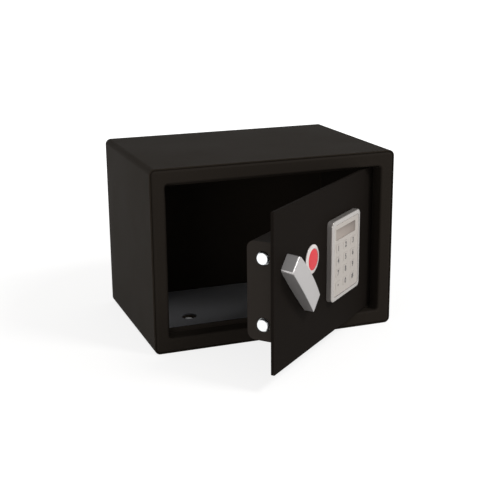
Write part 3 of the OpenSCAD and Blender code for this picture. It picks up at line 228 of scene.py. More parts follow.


# %% [markdown]
# ## Black powder coat
# The body, door and cover are sheet steel under a warm black powder coat. Powder melts into a skin
# with a fine orange peel about a millimetre across, so reflections break up softly. It could be a
# flat dark colour, but the peel is what tells paint from plastic. Two noises make it: one for the
# peel and one, finer, for the grain of the powder. A very slow third one shifts the gloss, as
# handling does. The frame, door and cover wear the same coat as the body, but each copy gets its
# own base colour and gloss: the door and frame are painted darker and the cover lighter, which is
# painted shade and painted light for how much each part is lit.


# %% Powder coat
def powder(name, color, roughness, gloss):
    f = Finish(name, color, roughness, Specular_IOR_Level=gloss)
    peel = f.noise(1.6 * MM, 3)
    grain = f.noise(0.35 * MM, 1)
    slow = f.noise(90 * MM, 2)
    f.feed("Roughness", roughness - 0.06 + 0.12 * slow + 0.05 * grain)
    f.feed("Base Color", f.blend(0.25 * grain + 0.5 * slow, color, times(color, 1.25)))
    f.bump(peel * 0.75 + grain * 0.25, 0.06 * MM, 0.6)
    return f.material


# One coat in four copies: frame and door darkened as painted shade, cover lightened as painted light.
body_coat = powder("body_powder_coat", (0.0178, 0.0142, 0.0108), 0.55, 0.012)
frame_coat_painted_shade = powder("frame_powder_coat_painted_shade", (0.0160, 0.0130, 0.0104), 0.55, 0.02)
door_coat_painted_shade = powder("door_powder_coat_painted_shade", (0.0099, 0.0080, 0.0067), 0.55, 0.006)
cover_coat_painted_light = powder("cover_powder_coat_painted_light", (0.0236, 0.0196, 0.0166), 0.50, 0.04)
print("four powder coats")

# %% [markdown]
# ## Plated and bare steel
# The bolts and the lock work are zinc plated: bright, a little blue, with fine lines from drawing
# or turning. Stretching a noise along one axis makes the lines, in the direction of the work.


# %% Zinc plate
def zinc(name, color, roughness, stretch):
    f = Finish(name, color, roughness, 1.0)
    lines = f.noise(0.6 * MM, 3, scale=stretch)
    cloud = f.noise(12 * MM, 2)
    f.feed("Roughness", roughness - 0.08 + 0.12 * lines + 0.08 * cloud)
    blue = (color[0] * 0.90, color[1] * 0.95, color[2] * 1.02)
    f.feed("Base Color", f.blend(cloud, color, blue))
    f.bump(lines, 0.01 * MM)
    return f.material


zinc_plate = zinc("zinc_plate", rgb(214, 214, 210), 0.30, (1, 1, 14))
bolt_steel = zinc("bolt_steel", rgb(252, 252, 250), 0.22, (14, 14, 1))
lock_steel = zinc("lock_steel", rgb(196, 192, 186), 0.34, (1, 1, 1))
print("three plated finishes")

# %% [markdown]
# ## Silver paints
# The knob is cast and painted a satin nickel; the keypad is moulded and painted silver. Both have
# metal flake: a fine speckle in colour and gloss. The knob and the housing are metallic enough to
# mirror the room in soft bands, the panel hardly.


# %% Silver paint
def silver(name, color, roughness, metallic, flake):
    f = Finish(name, color, roughness, metallic)
    speck = f.noise(0.22 * MM, 2, 0.7)
    mottle = f.noise(20 * MM, 2)
    f.feed("Base Color", f.blend(speck, times(color, 1 - flake), color))
    f.feed("Roughness", roughness - 0.05 + 0.06 * speck + 0.05 * mottle)
    f.bump(speck, 0.012 * MM)
    return f.material


knob_paint = silver("knob_satin_nickel", rgb(184, 181, 180), 0.29, 0.60, 0.16)
keypad_paint = silver("keypad_silver_paint", rgb(178, 173, 169), 0.20, 0.6, 0.12)
panel_paint = silver("keypad_panel_paint", rgb(184, 177, 170), 0.50, 0.12, 0.06)
ring_paint = silver("cover_ring_paint", rgb(220, 212, 209), 0.34, 0.4, 0.10)
print("four silver paints")

# %% [markdown]
# ## Mouldings
# Moulded plastic is even in colour, but never quite: it is a little darker where it cooled last,
# and its skin has the fine grain of the mould. The ink of the marks, the skin of the leads and the
# green mask of the boards differ from it only in colour, gloss and depth of grain. So one function
# makes them all.


# %% Mouldings, ink and boards
def moulding(name, color, roughness, depth=0.02 * MM, **fixed):
    f = Finish(name, color, roughness, **fixed)
    skin = f.noise(0.4 * MM, 2)
    slow = f.noise(15 * MM, 2)
    f.feed("Base Color", f.blend(slow, color, times(color, 0.86)))
    f.feed("Roughness", roughness - 0.04 + 0.08 * skin)
    f.bump(skin, depth)
    return f.material


red_gloss = moulding("red_moulding", rgb(228, 52, 62), 0.35, 0.004 * MM, Specular_IOR_Level=0.12,
                     Coat_Weight=0.03)
grey_moulding = moulding("grey_moulding", (0.055, 0.055, 0.058), 0.55)
dark_print = moulding("key_print", (0.045, 0.042, 0.042), 0.5, 0.002 * MM)
wire_skin = moulding("lead_insulation", (0.018, 0.018, 0.02), 0.45)
board_mask = moulding("solder_mask", (0.015, 0.10, 0.04), 0.32, 0.004 * MM)
display_grey = moulding("display_back", (0.16, 0.16, 0.14), 0.5)
print("six mouldings")

# %% [markdown]
# ## Felt
# The mat on the floor is needled felt: a tangle of fibres with soft tufts. Real fibres would take
# thousands of strands, so two noises stand for them, one as fine as a fibre and one as wide as a
# tuft, in colour and relief alike, with some sheen for the fuzz.

# %% Felt mat
felt = Finish("floor_felt", (0.040, 0.040, 0.044), 0.95, Specular_IOR_Level=0.1, Sheen_Weight=0.35)
fibre = felt.noise(0.5 * MM, 4, 0.75)
tuft = felt.noise(4 * MM, 3)
felt.feed("Base Color", felt.blend(fibre * 0.7 + tuft * 0.3, (0.022, 0.022, 0.025), (0.075, 0.075, 0.082)))
felt.bump(fibre * 0.6 + tuft * 0.4, 0.6 * MM, 0.8)
print("felt")

# %% [markdown]
# ## Copper winding
# The coil is hundreds of turns of enamelled wire. Each turn is a thin ridge, so a sine along the
# coil's axis gives the ridges as relief, and also paints their colour light on top and dark between,
# which is painted light and shade. The axis lies along the door.

# %% Winding
WINDING_WIRE = 0.35 * MM
winding = Finish("coil_winding", (0.35, 0.13, 0.05), 0.3, 0.5)
place = winding.along("X", turn=(0, 0, DOOR_OPEN))
ridge = place.sum("SINE", math.tau / WINDING_WIRE * place) * 0.5 + 0.5
# Painted light and shade: the same sine makes the ridges' tops lighter and the gaps darker.
winding.feed("Base Color", winding.blend(ridge, (0.20, 0.06, 0.02), (0.42, 0.17, 0.07)))
winding.bump(ridge, 0.12 * MM, 0.8)
print("winding")

# %% [markdown]
# ## Cells with bare ends
# A cell is a steel can in a printed sleeve that stops short of both ends. The sleeve and the steel
# are one solid here, so the distance from the nearer end decides between steel, a gold band and
# the dark middle.

# %% Cell sleeve and ends
BARE_END, GOLD_BAND = 2.6 * MM, 14 * MM
cells_low, cells_high = shut_box("batteries")
cell = Finish("cell_jacket", (0.05, 0.07, 0.11), 0.28)
from_end = (cells_high.z - cells_low.z) / 2 - abs(cell.along("Z") - (cells_low.z + cells_high.z) / 2)
steel = from_end < BARE_END
sleeve = cell.blend(from_end < GOLD_BAND, (0.045, 0.06, 0.10), (0.42, 0.33, 0.12))
cell.feed("Base Color", cell.blend(steel, sleeve, (0.62, 0.62, 0.60)))
cell.feed("Metallic", steel)
print("cells", [round(x / MM, 1) for x in cells_high - cells_low], "mm")

# %% [markdown]
# ## The display window
# A clear pane over a warm grey liquid crystal. Switched off it is nearly even. Its colour is painted
# darker towards the right and the top, as painted shade from the housing. The pane's own corner and
# size are taken as the place and scale of the coordinates, so that X and Z run from 0 to 1 over it.

# %% Display glass
pane_low, pane_high = shut_box("display_window")
glass = Finish("display_glass", rgb(140, 132, 124), 0.34, Specular_IOR_Level=0.3, Coat_Weight=0.15,
               Coat_Roughness=0.2)
across = glass.along("X", turn=(0, 0, DOOR_OPEN), at=DOOR_TURN @ pane_low, scale=pane_high - pane_low)
upwards = across.output("Z")
# Painted shade: the pane's colour darkens towards the right and the top, with a little random tone on top.
shade = across * across * 0.55 + upwards * upwards * upwards * 0.5 + glass.noise(20 * MM, 1) * 0.15
glass.feed("Base Color", glass.blend(shade, rgb(156, 143, 133), rgb(84, 71, 60)))
print("display glass", [round(x / MM, 1) for x in pane_high - pane_low], "mm")

# %% [markdown]
# ## Making a piece
# Every piece ends the same way: normals turned out, flat faces kept flat and the rest shaded
# smooth, then a place on its body. Plain smooth shading would smear the narrow rounds over the
# large faces beside them. So at each corner the large faces have more say, which is what the
# Weighted Normal modifier does, here with a hard limit at steep edges.

# %% Corner normals
STEEP = math.radians(50)


def corner_normals(bm):
    """A normal for each face corner: the large faces round a point decide, up to the steep edges."""
    bm.normal_update()
    area = {f: f.calc_area() for f in bm.faces}
    steep = {e for e in bm.edges if len(e.link_faces) != 2 or e.calc_face_angle(0) > STEEP}
    found = {}
    for v in bm.verts:
        left = list(v.link_faces)
        while left:
            fan, more = [], [left.pop()]
            while more:
                face = more.pop()
                fan.append(face)
                for e in face.edges:
                    if v in e.verts and e not in steep:
                        near = [f for f in e.link_faces if f in left]
                        more.extend(near)
                        left = [f for f in left if f not in near]
            normal = sum((f.normal * area[f] for f in fan), Vector()).normalized()
            for face in fan:
                found[face, v] = normal
    return [found[f, loop.vert] for f in bm.faces for loop in f.loops]


# %% Finish a piece
def finish_piece(name, bm, body, material, stands_for=(), on_door=True):
    """Makes an object of a shape, opens it with the door, shades it and lets it ride on its body."""
    if on_door:
        bmesh.ops.transform(bm, matrix=DOOR_TURN, verts=bm.verts)
    bmesh.ops.recalc_face_normals(bm, faces=bm.faces)
    normals = corner_normals(bm)
    mesh = bpy.data.meshes.new(name)
    bm.to_mesh(mesh)
    bm.free()
    mesh.shade_smooth()
    mesh.normals_split_custom_set(normals)
    mesh.materials.append(material)
    piece = bpy.data.objects.new(name, mesh)
    bpy.context.scene.collection.objects.link(piece)
    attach(piece, body)
    if stands_for:
        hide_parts(*stands_for)
    return piece


# %% [markdown]
# ## Softened copies of the sheet work
# Folded and sheared sheet never has a knife edge, and the paint rounds it further. The solids are
# sharp where they were cut. A copy of the solid is merged, its flat triangles are joined, and
# every hard edge gets a narrow round. Modelling the sheets again would also do, but a copy keeps
# each hole where the solid has it.


# %% Soften a solid
MERGE, FLAT, HARD = 0.002 * MM, math.radians(0.5), math.radians(38)


def bevel(bm, edges, size, segments):
    bmesh.ops.bevel(bm, geom=list(edges), offset=size, offset_type="OFFSET", segments=segments, profile=0.5,
                    affect="EDGES", clamp_overlap=True, material=-1)


def soften(node, width, material):
    source = frame["nodes"][node]
    bm = bmesh.new()
    bm.from_mesh(source.data)
    bmesh.ops.remove_doubles(bm, verts=bm.verts, dist=MERGE)
    bmesh.ops.dissolve_limit(bm, angle_limit=FLAT, verts=bm.verts, edges=bm.edges)
    hard = [e for e in bm.edges if len(e.link_faces) == 2 and e.calc_face_angle(0) > HARD]
    bevel(bm, hard, width, 2)
    piece = finish_piece(node + "_soft", bm, source["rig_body"], material, [node], on_door=False)
    print(node, len(hard), "edges,", len(piece.data.polygons), "faces")


# %% Soften the sheet work
for node, width, material in [
        ("body_sleeve", 0.5 * MM, body_coat), ("back_panel", 0.5 * MM, body_coat),
        ("front_frame", 0.4 * MM, frame_coat_painted_shade), ("door_plate", 0.6 * MM, door_coat_painted_shade),
        ("mechanism_cover", 0.5 * MM, cover_coat_painted_light), ("upper_hinge_block", 0.8 * MM, door_coat_painted_shade),
        ("lower_hinge_block", 0.8 * MM, door_coat_painted_shade), ("upper_hinge_bush", 0.3 * MM, frame_coat_painted_shade),
        ("lower_hinge_bush", 0.3 * MM, frame_coat_painted_shade)]:
    soften(node, width, material)

# %% [markdown]
# ## Softened mat, bolts and battery box
# The cut edge of the mat, the turned ends of the bolts and the moulded tray, lid and reset button
# are sharp in the solids too, and softened in the same way.

# %% Soften the smaller pieces
soften("floor_mat", 0.8 * MM, felt.material)
for node in ["upper_bolt", "lower_bolt"]:
    soften(node, 0.3 * MM, bolt_steel)
for node in ["battery_tray", "battery_lid"]:
    soften(node, 0.3 * MM, grey_moulding)
soften("reset_button", 0.3 * MM, red_gloss)

# %% [markdown]
# ## Weld bead round the rear wall
# The rear wall is welded into the folded sleeve from the inside. Without the bead a hair of daylight
# would show along the joint. A sheet as large as the opening has its corners rounded and its middle
# cut out. That leaves a narrow ring, which is thickened and rounded at its free edge. It bites a
# hair into the panel, so that no slit is left.

# %% Bead
SHEET_T, FOLD_R, BEAD, BITE = 2 * MM, 8 * MM, 1.6 * MM, 0.01 * MM
sleeve_low, sleeve_high = corners(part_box("body_sleeve"))
opening = sleeve_high - sleeve_low - 2 * SHEET_T * Vector((1, 1, 1))
bm = bmesh.new()
bmesh.ops.create_grid(bm, x_segments=1, y_segments=1, size=0.5)
bmesh.ops.scale(bm, vec=(opening.x, opening.z, 1), verts=bm.verts)
bmesh.ops.bevel(bm, geom=list(bm.verts), offset=FOLD_R - SHEET_T, offset_type="OFFSET", segments=8,
                profile=0.5, affect="VERTICES", clamp_overlap=True, material=-1)
bmesh.ops.inset_region(bm, faces=list(bm.faces), thickness=BEAD, use_even_offset=True, use_boundary=True)
bmesh.ops.delete(bm, geom=[max(bm.faces, key=lambda f: f.calc_area())], context="FACES")
print("bead as a flat ring of", len(bm.faces), "faces")


# %% Thicken the bead
def thicken(bm, height):
    """Draws a flat sheet out along +Z into a closed plate."""
    raised = bmesh.ops.extrude_face_region(bm, geom=list(bm.faces))["geom"]
    points = [part for part in raised if isinstance(part, bmesh.types.BMVert)]
    bmesh.ops.translate(bm, vec=(0, 0, height), verts=points)


def on_free_edge(v):
    """The free edge of the ring is its inner one, on the side away from the panel."""
    return v.co.z > BEAD / 2 and max(abs(v.co.x) - opening.x / 2, abs(v.co.y) - opening.z / 2) < -0.99 * BEAD


thicken(bm, BEAD)
free = [e for e in bm.edges if all(on_free_edge(v) for v in e.verts) and e.calc_face_angle(0) > HARD]
bevel(bm, free, BEAD * 0.9, 4)
centre = (sleeve_low + sleeve_high) / 2
stand = Matrix.Translation((centre.x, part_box("back_panel")[0][1] + BITE, centre.z))
bmesh.ops.transform(bm, matrix=stand @ Matrix.Rotation(math.radians(90), 4, "X"), verts=bm.verts)
bead = finish_piece("rear_weld_bead", bm, "cabinet", body_coat, on_door=False)
print("bead", [round(x / MM, 1) for x in bead.dimensions], "mm,", len(bead.data.polygons), "faces")

# %% [markdown]
# ## The plunger's spring
# Round wire in four and a half open turns, which stands for the plain tube in the solids. A small
# circle is spun about the plunger's axis and moved along it at each step, as a lathe cuts a thread.
# On the lock, the plunger's collar pushes it together, so it is squashed along its axis as the plunger draws
# back.

# %% Spring
WIRE_R, TURNS, STEPS, COIL_PLAY = 0.25 * MM, 4.5, 108, 0.15 * MM
low, high = shut_box("plunger_spring")
axis_y, axis_z = (low.y + high.y) / 2, (low.z + high.z) / 2
step = (high.x - low.x - 2 * WIRE_R) / STEPS
bm = bmesh.new()
bmesh.ops.create_circle(bm, cap_ends=False, radius=WIRE_R, segments=10)
bmesh.ops.translate(bm, vec=(0, (high.z - low.z) / 2 - WIRE_R - COIL_PLAY, 0), verts=bm.verts)
bmesh.ops.spin(bm, geom=list(bm.verts) + list(bm.edges), cent=(0, 0, 0), axis=(1, 0, 0), dvec=(step, 0, 0),
               angle=math.tau * TURNS, steps=STEPS, use_merge=False)
bmesh.ops.holes_fill(bm, edges=[e for e in bm.edges if len(e.link_faces) == 1], sides=0)
bmesh.ops.translate(bm, vec=(low.x + WIRE_R, axis_y, axis_z), verts=bm.verts)
spring = finish_piece("spring_wire", bm, frame["nodes"]["plunger_spring"]["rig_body"], bolt_steel,
                      ["plunger_spring"])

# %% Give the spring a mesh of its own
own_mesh(spring)

# %% [markdown]
# ## The knob
# A cast bar, crowned from end to end, with slightly bowed sides and an upper end that slopes. It
# starts as a cube and is cut along its length, so that front and sides can follow their arcs. The
# photograph shows a wide bright round on the upper end and crisp long edges. The bevel operator has
# one width for all, so the Bevel modifier does it, which takes for each edge its own share of it.


# %% Round each edge by its own share
def weighted_bevel(bm, share_of, width, segments):
    """Rounds each edge by its share of one width, with the Bevel modifier, and gives a new bmesh."""
    weight = bm.edges.layers.float.new("bevel_weight_edge")
    bm.normal_update()
    for edge in bm.edges:
        edge[weight] = share_of(edge)
    sharp = bpy.data.meshes.new("carrier")
    bm.to_mesh(sharp)
    bm.free()
    holder = bpy.data.objects.new("carrier", sharp)
    bpy.context.scene.collection.objects.link(holder)
    modifier = holder.modifiers.new("Round", "BEVEL")
    modifier.limit_method, modifier.width, modifier.segments = "WEIGHT", width, segments
    modifier.profile = 0.5
    shaped = bpy.data.meshes.new_from_object(holder.evaluated_get(bpy.context.evaluated_depsgraph_get()))
    bpy.data.objects.remove(holder)
    made = bmesh.new()
    made.from_mesh(shaped)
    for mesh in (sharp, shaped):
        bpy.data.meshes.remove(mesh)
    return made


# %% Knob sizes
KNOB_LEN, KNOB_W, KNOB_H, KNOB_TURN = 98 * MM, 25.4 * MM, 17 * MM, math.radians(46.5)
CROWN_R, CROWN_SHIFT, SIDE_R, LEAN = 516 * MM, 18 * MM, 900 * MM, 3.2 * MM
END_ROUND, LONG_ROUND, FLAT_JOINT = 3.0 * MM, 0.9 * MM, math.radians(40)
side_in = math.sqrt(SIDE_R**2 - KNOB_LEN**2 / 4) - KNOB_W / 2


def crown(x):
    """Height of the knob's front at a place along it."""
    return KNOB_H - CROWN_R + math.sqrt(CROWN_R**2 - (x + CROWN_SHIFT) ** 2)


def knob_round(edge):
    """No round on flat joints and at the door, the full one on the upper end, a narrow one elsewhere."""
    at_door = all(v.co.y == 0 for v in edge.verts)
    if at_door or edge.calc_face_angle(0) < FLAT_JOINT:
        return 0
    upper_end = min(f.normal.x for f in edge.link_faces) < -0.9
    return 1 if upper_end else LONG_ROUND / END_ROUND


print("knob's front", [round(crown(x) / MM, 1) for x in (-KNOB_LEN / 2, 0, KNOB_LEN / 2)], "mm off the door")


# %% Knob
bm = bmesh.new()
bmesh.ops.create_cube(bm, size=1)
bmesh.ops.scale(bm, vec=(KNOB_LEN, 1, 1), verts=bm.verts)
lengthwise = [e for e in bm.edges if abs((e.verts[0].co - e.verts[1].co).x) > 0.5 * KNOB_LEN]
bmesh.ops.subdivide_edges(bm, edges=lengthwise, cuts=19)
for v in bm.verts:
    front = v.co.y < 0
    if front:
        share = 0.5 - v.co.x / KNOB_LEN
        v.co.x += share * LEAN * crown(LEAN - KNOB_LEN / 2) / KNOB_H
    v.co.z = math.copysign(math.sqrt(SIDE_R**2 - v.co.x**2) - side_in, v.co.z)
    v.co.y = -crown(v.co.x) if front else 0
bm = weighted_bevel(bm, knob_round, END_ROUND, 6)
seat = Matrix.Translation(((SHUT @ Vector(joints["knob_turn"]["pos_m"])).x, shut_box("knob")[1].y,
                           (plate_low.z + plate_high.z) / 2))
bmesh.ops.transform(bm, matrix=seat @ Matrix.Rotation(KNOB_TURN, 4, "Y"), verts=bm.verts)
knob = finish_piece("bar_knob", bm, "knob", knob_paint, ["knob"])
print("knob", [round(x / MM, 1) for x in knob.dimensions], "mm")

# %% [markdown]
# ## The cover over the key lock
# A shallow turned cap: a silver ring with a rolled rim, and a glossy red centre, a little domed and
# sunk below the ring. Both are profiles spun once round the lock's axis. The profile is drawn as
# distance from the axis and height above the door, so it reads like a turner's sketch.


# %% Turn a profile
TINY = 0.001 * MM


def turned(profile, steps=96):
    """Spins points of distance from the axis and height off the door, in metres, round the Y axis."""
    bm = bmesh.new()
    ring = [bm.verts.new((r, -height, 0)) for r, height in profile]
    edges = [bm.edges.new(pair) for pair in zip(ring, ring[1:])]
    bmesh.ops.spin(bm, geom=ring + edges, cent=(0, 0, 0), axis=(0, 1, 0), angle=math.tau, steps=steps,
                   use_merge=True)
    bmesh.ops.remove_doubles(bm, verts=bm.verts, dist=TINY)
    return bm


def set_at(bm, x, y, z):
    bmesh.ops.translate(bm, vec=(x, y, z), verts=bm.verts)
    return bm


# %% Round the corners of a profile
CORNER_STEPS = 5


def rounded(points, radius):
    """The same open line with each inner corner drawn as a short curve."""
    line = [points[0]]
    for before, at, after in zip(points, points[1:], points[2:]):
        a, b, c = Vector(before), Vector(at), Vector(after)
        start = b + (a - b).normalized() * radius
        end = b + (c - b).normalized() * radius
        for i in range(CORNER_STEPS + 1):
            t = i / CORNER_STEPS
            line.append(tuple((1 - t) ** 2 * start + 2 * t * (1 - t) * b + t * t * end))
    return line + [points[-1]]


# %% Silver ring
low, high = shut_box("lock_cover_ring")
LOCK_X, LOCK_Z = (low.x + high.x) / 2, (low.z + high.z) / 2
RING_R, RING_H, RIM_T, RIM_ROUND = (high.x - low.x) / 2, high.y - low.y, 1.2 * MM, 0.35 * MM
red_low, red_high = shut_box("lock_cover_centre")
RED_R, RED_H, BACK_Y = (red_high.x - red_low.x) / 2, red_high.y - red_low.y, red_high.y
BORE, LAND_R = RED_R + 0.05 * MM, RED_R + 0.8 * MM
section = rounded([(BORE, RING_H / 2), (BORE, RING_H), (LAND_R, RING_H), (RING_R, RIM_T), (RING_R, 0),
                   (BORE, 0), (BORE, RING_H / 2)], RIM_ROUND)
ring = finish_piece("lock_cover_rim", set_at(turned(section), LOCK_X, BACK_Y, LOCK_Z), "lock_cover",
                    ring_paint, ["lock_cover_ring"])
print("cover ring", len(ring.data.polygons), "faces")

# %% Red centre
SAG, CAP_T, CAP_INNER_R, LIP_IN, LIP_DOWN = 0.25 * MM, 1.15 * MM, 12.6 * MM, 0.1 * MM, 0.9 * MM
section = [(0, RED_H)] + [(RED_R * t, RED_H - SAG * t * t) for t in (0.2, 0.4, 0.6, 0.8, 0.95)]
section += [(RED_R - LIP_IN, RED_H - 2 * SAG), (RED_R, RED_H - LIP_DOWN), (RED_R, 0),
            (CAP_INNER_R, 0), (CAP_INNER_R, RED_H - CAP_T), (0, RED_H - CAP_T)]
cap = finish_piece("lock_cover_cap", set_at(turned(section), LOCK_X, BACK_Y, LOCK_Z), "lock_cover",
                   red_gloss, ["lock_cover_centre"])
print("red centre", len(cap.data.polygons), "faces")

# %% [markdown]
# ## Keypad
# The housing is one moulding. Its groove and the lip round each opening are where the eye looks,
# so the sharp edges of housing, panel and keys get a round of a tenth or two of a millimetre.
# A copy of each solid is enough, since the shapes themselves are already right.

# %% Soften the keypad
soften("keypad_housing", 0.15 * MM, keypad_paint)
soften("keypad_panel", 0.12 * MM, panel_paint)
KEYS = ["key_1", "key_2", "key_3", "key_4", "key_5", "key_6", "key_7", "key_8", "key_9",
        "key_left", "key_0", "key_right"]
for key in KEYS:
    soften(key, 0.18 * MM, panel_paint)
soften("display_window", 0.3 * MM, glass.material)

# %% [markdown]
# ## Screws
# Four screws with a hexagon socket hold the cover. Head, shank and a round socket are one profile,
# spun like the cap above. The socket's points then move outwards or inwards, each along its own
# line from the axis, until they lie on a hexagon. The solids tell where each screw sits: their
# mesh is split into islands, and each island's box gives a screw's place and size.

# %% Socket screws
HEAD_H, HEAD_ROUND, HEAD_CUT = 1.1 * MM, 0.35 * MM, 0.1 * MM
SHANK_R, SCREW_TIP, SOCKET_R, SOCKET_D = 1.48 * MM, 0.4 * MM, 1.1 * MM, 0.8 * MM
HALF_SIDE = math.tau / 12


def socket_screw(head_r, length):
    """A screw with the top of its head at the origin, its head towards +Y."""
    profile = [(0, SOCKET_D), (SOCKET_R, SOCKET_D), (SOCKET_R, 0), (head_r - HEAD_ROUND, 0),
               (head_r - HEAD_CUT, HEAD_CUT), (head_r, HEAD_ROUND), (head_r, HEAD_H), (SHANK_R, HEAD_H),
               (SHANK_R, length - SCREW_TIP), (SHANK_R - SCREW_TIP, length), (0, length)]
    bm = turned(profile, 48)
    for v in bm.verts:
        if abs(math.hypot(v.co.x, v.co.z) - SOCKET_R) < TINY and v.co.y > -SOCKET_D - TINY:
            from_flat = (math.atan2(v.co.z, v.co.x) + math.tau) % (2 * HALF_SIDE) - HALF_SIDE
            reach = math.cos(HALF_SIDE) / math.cos(from_flat)
            v.co.x *= reach
            v.co.z *= reach
    return bm


# %% Islands of a solid
def islands(node):
    """Low and high corner of each separate solid of a node, with the door shut, in a fixed order."""
    bm = bmesh.new()
    bm.from_mesh(frame["nodes"][node].data)
    bmesh.ops.transform(bm, matrix=SHUT, verts=bm.verts)
    bmesh.ops.remove_doubles(bm, verts=bm.verts, dist=MERGE)
    left, boxes = set(bm.verts), []
    while left:
        group, more = set(), [left.pop()]
        while more:
            v = more.pop()
            group.add(v)
            near = {e.other_vert(v) for e in v.link_edges} - group
            more.extend(near)
            group |= near
        left -= group
        boxes.append(corners([v.co for v in group]))
    bm.free()
    return sorted(boxes, key=lambda box: (round(box[0].x, 4), round(box[0].z, 4)))


# %% Put the screws in
bm = bmesh.new()
for low, high in islands("cover_screws"):
    screw = set_at(socket_screw((high.x - low.x) / 2, high.y - low.y), (low.x + high.x) / 2, high.y,
                   (low.z + high.z) / 2)
    carrier = bpy.data.meshes.new("carrier")
    screw.to_mesh(carrier)
    screw.free()
    bm.from_mesh(carrier)
    bpy.data.meshes.remove(carrier)
screws = finish_piece("socket_screws", bm, "door", zinc_plate, ["cover_screws"])
print("screws of", len(screws.data.polygons), "faces")

# %% [markdown]
# ## Printed digits
# The keys lie flush in the panel and carry small printed marks. A print has next to no thickness,
# so each mark is thin text, made a mesh and set on its key's face, and it rides with that key. The
# font's star has crossing strokes, which don't close when they are thickened. So the star is a
# plate with twelve corners instead, every second one drawn in.

# %% Shapes of the marks
MARK_SIZE, MARK_T, STROKE, STAR_R, STAR_IN = 10 * MM, 0.04 * MM, 0.035, 0.24, 0.4


def glyph(text):
    """A digit or a hash as a thin closed plate, facing +Z."""
    curve = bpy.data.curves.new("mark_text", "FONT")
    curve.body, curve.size, curve.resolution_u = text, MARK_SIZE, 4
    curve.extrude, curve.offset = MARK_T / 2, MARK_SIZE * STROKE
    holder = bpy.data.objects.new("mark_text", curve)
    bpy.context.scene.collection.objects.link(holder)
    mesh = bpy.data.meshes.new_from_object(holder.evaluated_get(bpy.context.evaluated_depsgraph_get()))
    bpy.data.objects.remove(holder)
    bm = bmesh.new()
    bm.from_mesh(mesh)
    bpy.data.meshes.remove(mesh)
    bmesh.ops.remove_doubles(bm, verts=bm.verts, dist=1e-7)
    return bm


def star():
    """The same thin plate as a star with six points."""
    bm = bmesh.new()
    bmesh.ops.create_circle(bm, cap_ends=True, segments=12, radius=MARK_SIZE * STAR_R)
    bmesh.ops.scale(bm, vec=(STAR_IN, STAR_IN, 1), verts=list(bm.verts)[1::2])
    thicken(bm, MARK_T)
    return bm


# %% Marks on the keys
for key, text in zip(KEYS, "123456789*0#"):
    low, high = shut_box(key)
    bm = star() if text == "*" else glyph(text)
    middle = sum(corners([v.co for v in bm.verts]), Vector()) / 2
    set_at(bm, *(-middle))
    bmesh.ops.rotate(bm, matrix=Matrix.Rotation(math.radians(90), 3, "X"), verts=bm.verts)
    set_at(bm, (low.x + high.x) / 2, low.y - MARK_T / 2, (low.z + high.z) / 2)
    finish_piece(key + "_mark", bm, key, dark_print)
print("twelve marks")

# %% [markdown]
# ## Finishes for the solids that stay
# The rest of the solids already have the right shape, so they only take a material. Those that a
# piece above stands for are hidden by now, and the last line shows that none is left bare.

# %% Give each solid its finish
FINISH_OF = {
    zinc_plate: ["upper_hinge_pin", "lower_hinge_pin", "lock_chassis", "carriage_guide",
                 "bolt_carriage", "bolt_rivets", "knob_spindle", "spindle_bush", "crank_disc",
                 "solenoid_frame", "release_link", "lock_nut", "cover_posts", "keypad_screws",
                 "battery_lid_pin"],
    bolt_steel: ["solenoid_plunger"],
    lock_steel: ["lock_barrel", "lock_plug"],
    winding.material: ["solenoid_coil"],
    display_grey: ["display_module"],
    cell.material: ["batteries"],
    board_mask: ["control_board", "keypad_board"],
    wire_skin: ["wiring"],
}
for material, nodes in FINISH_OF.items():
    for node in nodes:
        mesh = frame["nodes"][node].data
        mesh.materials.clear()
        mesh.materials.append(material)
without = [name for name, solid in frame["nodes"].items()
           if not solid.hide_render and name not in sum(FINISH_OF.values(), [])]
print("solids left without a finish:", without)

# %% [markdown]
# ## Floor
# The safe stands on a white floor that runs out of sight. A floor lit so that it turns pure white
# would light the safe too. So it is a plain pale floor for the light, and glows only for the camera
# and for mirrored rays. The glow is weaker near the safe, where its shadow has to show. A grey
# sheet under the safe keeps the glow out of the holes in its floor.

# %% White floor that keeps the shadow
GLOW, GLOW_NEAR, SHADOW_FROM, SHADOW_TO = 1.28, 0.63, 0.35, 1.1
ground = Finish("studio_floor", rgb(214, 212, 210), 0.9, Specular_IOR_Level=0.0)
away = ground.node("ShaderNodeVectorMath", {"operation": "LENGTH"}, {0: ground.where()}, out="Value")
far = ground.node("ShaderNodeMapRange", {}, {"Value": away, "From Min": SHADOW_FROM, "From Max": SHADOW_TO,
                                             "To Min": GLOW_NEAR, "To Max": 1.0})
ray = ground.node("ShaderNodeLightPath", out="Is Camera Ray")
glow = ground.node("ShaderNodeEmission", {}, {"Strength": GLOW})
ground.show(ground.node("ShaderNodeMixShader", {}, {0: ray.larger(ray.output("Is Glossy Ray")) * far,
                                                    1: Wire(ground, ground.shader.outputs[0]), 2: glow}))
under = Finish("floor_under_safe", (0.5, 0.5, 0.5), 0.9)
print("floor finishes")


# %% Lay the floor
def floor_sheet(name, half_x, half_y, z, material):
    bm = bmesh.new()
    bmesh.ops.create_grid(bm, x_segments=1, y_segments=1, size=1)
    bmesh.ops.scale(bm, vec=(half_x, half_y, 1), verts=bm.verts)
    mesh = bpy.data.meshes.new(name)
    set_at(bm, 0, 0, z).to_mesh(mesh)
    bm.free()
    mesh.materials.append(material)
    sheet = bpy.data.objects.new(name, mesh)
    bpy.context.scene.collection.objects.link(sheet)


FLOOR_HALF, UNDER_X, UNDER_Y = 30, 165 * MM, 110 * MM
floor_sheet("studio_floor", FLOOR_HALF, FLOOR_HALF, -0.2 * MM, ground.material)
floor_sheet("floor_under_safe", UNDER_X, UNDER_Y, -0.1 * MM, under.material)
print("floor")

# %% [markdown]
# ## Room
# The room is an even pale light all round. What the silver paints mirror is pale near the horizon
# and dark overhead, which gives the knob its dark end and bright edges, and the camera sees pure
# white. The kind of ray picks between the three.

